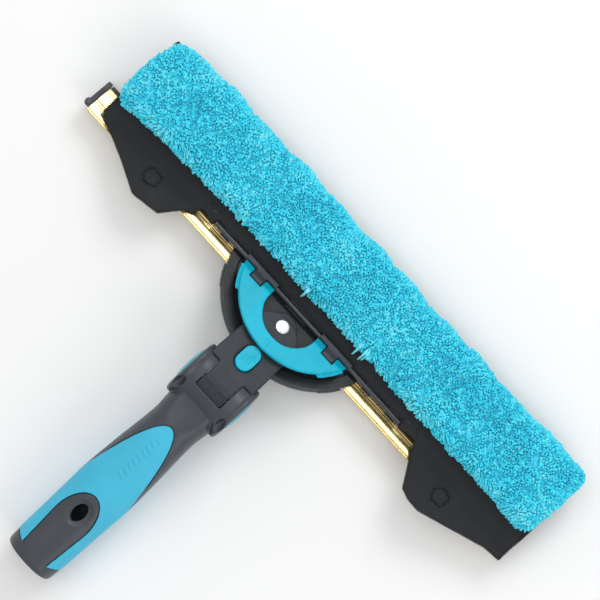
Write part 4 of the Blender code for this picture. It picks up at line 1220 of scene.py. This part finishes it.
def make_fabric():
    start, end, front = LEFT_EAR[0][0], RIGHT_EAR[-1][0], 40.0
    corners = [p[0] for p in LEFT_EAR + RIGHT_EAR]
    columns = np.unique(np.concatenate([np.arange(start, end, 0.6), [end], corners]))
    rows = np.linspace(0, 1, 56) ** 1.2
    rear = np.minimum(fabric_edge(columns), strip_rear(columns))
    x = np.repeat(columns, len(rows))
    y = (rear[:, None] + (front - rear)[:, None] * rows[None]).ravel()
    hem = np.exp(-((y - np.repeat(rear, len(rows))) / 1.1) ** 2)
    height = on_fabric(x, y, 0.0)[:, 2] + 0.3 * hem
    cloth = cloth_sheet("pad_fabric", np.stack([x, y, height], axis=1), len(columns), len(rows))
    nodes = ["pad_ear_left", "pad_ear_right", "ear_snap_left", "ear_snap_right", "pad_backing"]
    place(cloth, HEAD, None, "cloth", nodes, 60)
    bend_with_pad(cloth)
    make_stitching()


def bend_with_pad(obj):
    """Bakes the object's placement into its mesh."""
    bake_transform(obj)


def on_fabric(x, y, lift):
    """Points on the fabric, which dips behind the strip's rear edge and lies smoother under the pile."""
    x, y = np.asarray(x, float), np.asarray(y, float)
    strip = bump(x - 8.0, 80.0, 6.0)
    dip = 4.6 * strip * np.clip(1 - (y - strip_rear(x)) / 2.4, 0, 1) ** 2
    height = fabric_height(y) + wrinkles(x, y) * np.clip((26.0 - y) / 6.0, 0.15, 1) - dip + lift
    return np.stack([x, y, height], axis=1)


def thread_mesh(name, paths, radii):
    return yarn_mesh(name, paths, radii, np.full(len(paths), 0.5), np.ones(paths.shape[1]), 6)


def make_stitching():
    """The overlocked edges of the ears and the tack stitches along the strip."""
    made = []
    left, right = ((LEFT_EAR[0][0], 24.0),) + LEFT_EAR, RIGHT_EAR + ((RIGHT_EAR[-1][0], 24.0),)
    for name, corners in (("left", np.array(left)), ("right", np.array(right))):
        legs = np.linalg.norm(np.diff(corners, axis=0), axis=1)
        run = np.concatenate([[0], np.cumsum(legs)])
        place_at = np.arange(0.3, run[-1], 0.9)
        x = np.interp(place_at, run, corners[:, 0])
        y = np.interp(place_at, run, corners[:, 1])
        along = unit(np.stack([np.gradient(x), np.gradient(y)], axis=1))
        inward = np.stack([-along[:, 1], along[:, 0]], axis=1)
        paths = []
        for reach, lift in ((-0.55, -0.1), (-0.25, 0.42), (0.5, 0.55), (1.35, 0.30)):
            paths.append(on_fabric(x + inward[:, 0] * reach + along[:, 0] * reach * 0.25,
                                   y + inward[:, 1] * reach + along[:, 1] * reach * 0.25, lift))
        paths = np.stack(paths, axis=1)
        radii = np.full(paths.shape[:2], 0.40) * np.array([0.8, 1.0, 1.0, 0.6])[None]
        edge = thread_mesh(f"ear_overlock_{name}", paths, radii)
        place(edge, HEAD, None, "thread", angle=180)
        bend_with_pad(edge)
        made.append(edge)
    stitches = []
    for start, end in ((-76.0, -46.0), (46.0, 92.0)):
        for x in np.arange(start, end, STITCH_PITCH):
            ends = on_fabric([x, x + 0.9, x + 1.8, x + 2.6], [STITCH_LINE] * 4, 0.0)
            ends[:, 2] += (0.2, 0.5, 0.5, 0.2)
            stitches.append(ends)
    radii = np.full((len(stitches), 4), 0.22)
    tack = thread_mesh("strip_stitches", np.array(stitches), radii)
    place(tack, HEAD, "pad", "pale_thread", angle=180)
    made.append(tack)
    return made


def make_lining():
    """The thin cloth under the plate, with a soft quilted sag."""
    rear, front = 6.0, 51.0
    columns, rows = np.linspace(PAD_FROM + 4, PAD_TO - 1, 120), np.linspace(rear, front, 24)
    x, y = np.repeat(columns, len(rows)), np.tile(rows, len(columns))
    points = np.stack([x, y, np.zeros_like(x)], axis=1)
    edge = np.minimum(np.minimum(y - rear, front - y), np.minimum(x - columns[0], columns[-1] - x))
    z = -2.2 - 0.35 * np.clip(edge / 4, 0, 1) + 0.18 * field(points, 0.06, 21) * np.clip(edge / 3, 0, 1)
    lining = cloth_sheet("pad_lining_fine", np.stack([x, y, z], axis=1), len(columns), len(rows))
    place(lining, PAD, "pad", "cloth", angle=60)


# ---------------------------------------------------------------- hidden hardware


def dress_nodes():
    """The small CAD nodes that keep their own shape: springs and pins."""
    finishes = {"tilt_pin": "steel", "tilt_spring_left": "steel", "tilt_spring_right": "steel",
                # The lever pins take dark plastic rather than steel: painted shade for the gap at the lever's
                # notch, where they show.
                "swivel_button_spring": "steel", "lever_pin_left": "dark", "lever_pin_right": "dark"}
    for name, finish in finishes.items():
        for slot in frame["nodes"][name].material_slots:
            slot.material = LOOKS[finish][1]


make_stage()
LOOKS = make_looks()
make_grip()
make_tilt_buttons()
make_neck()
make_head_plates()
make_bolt()
make_lever()
make_brackets()
make_channel()
make_pad_frame()
make_pad()
make_fabric()
make_lining()
dress_nodes()
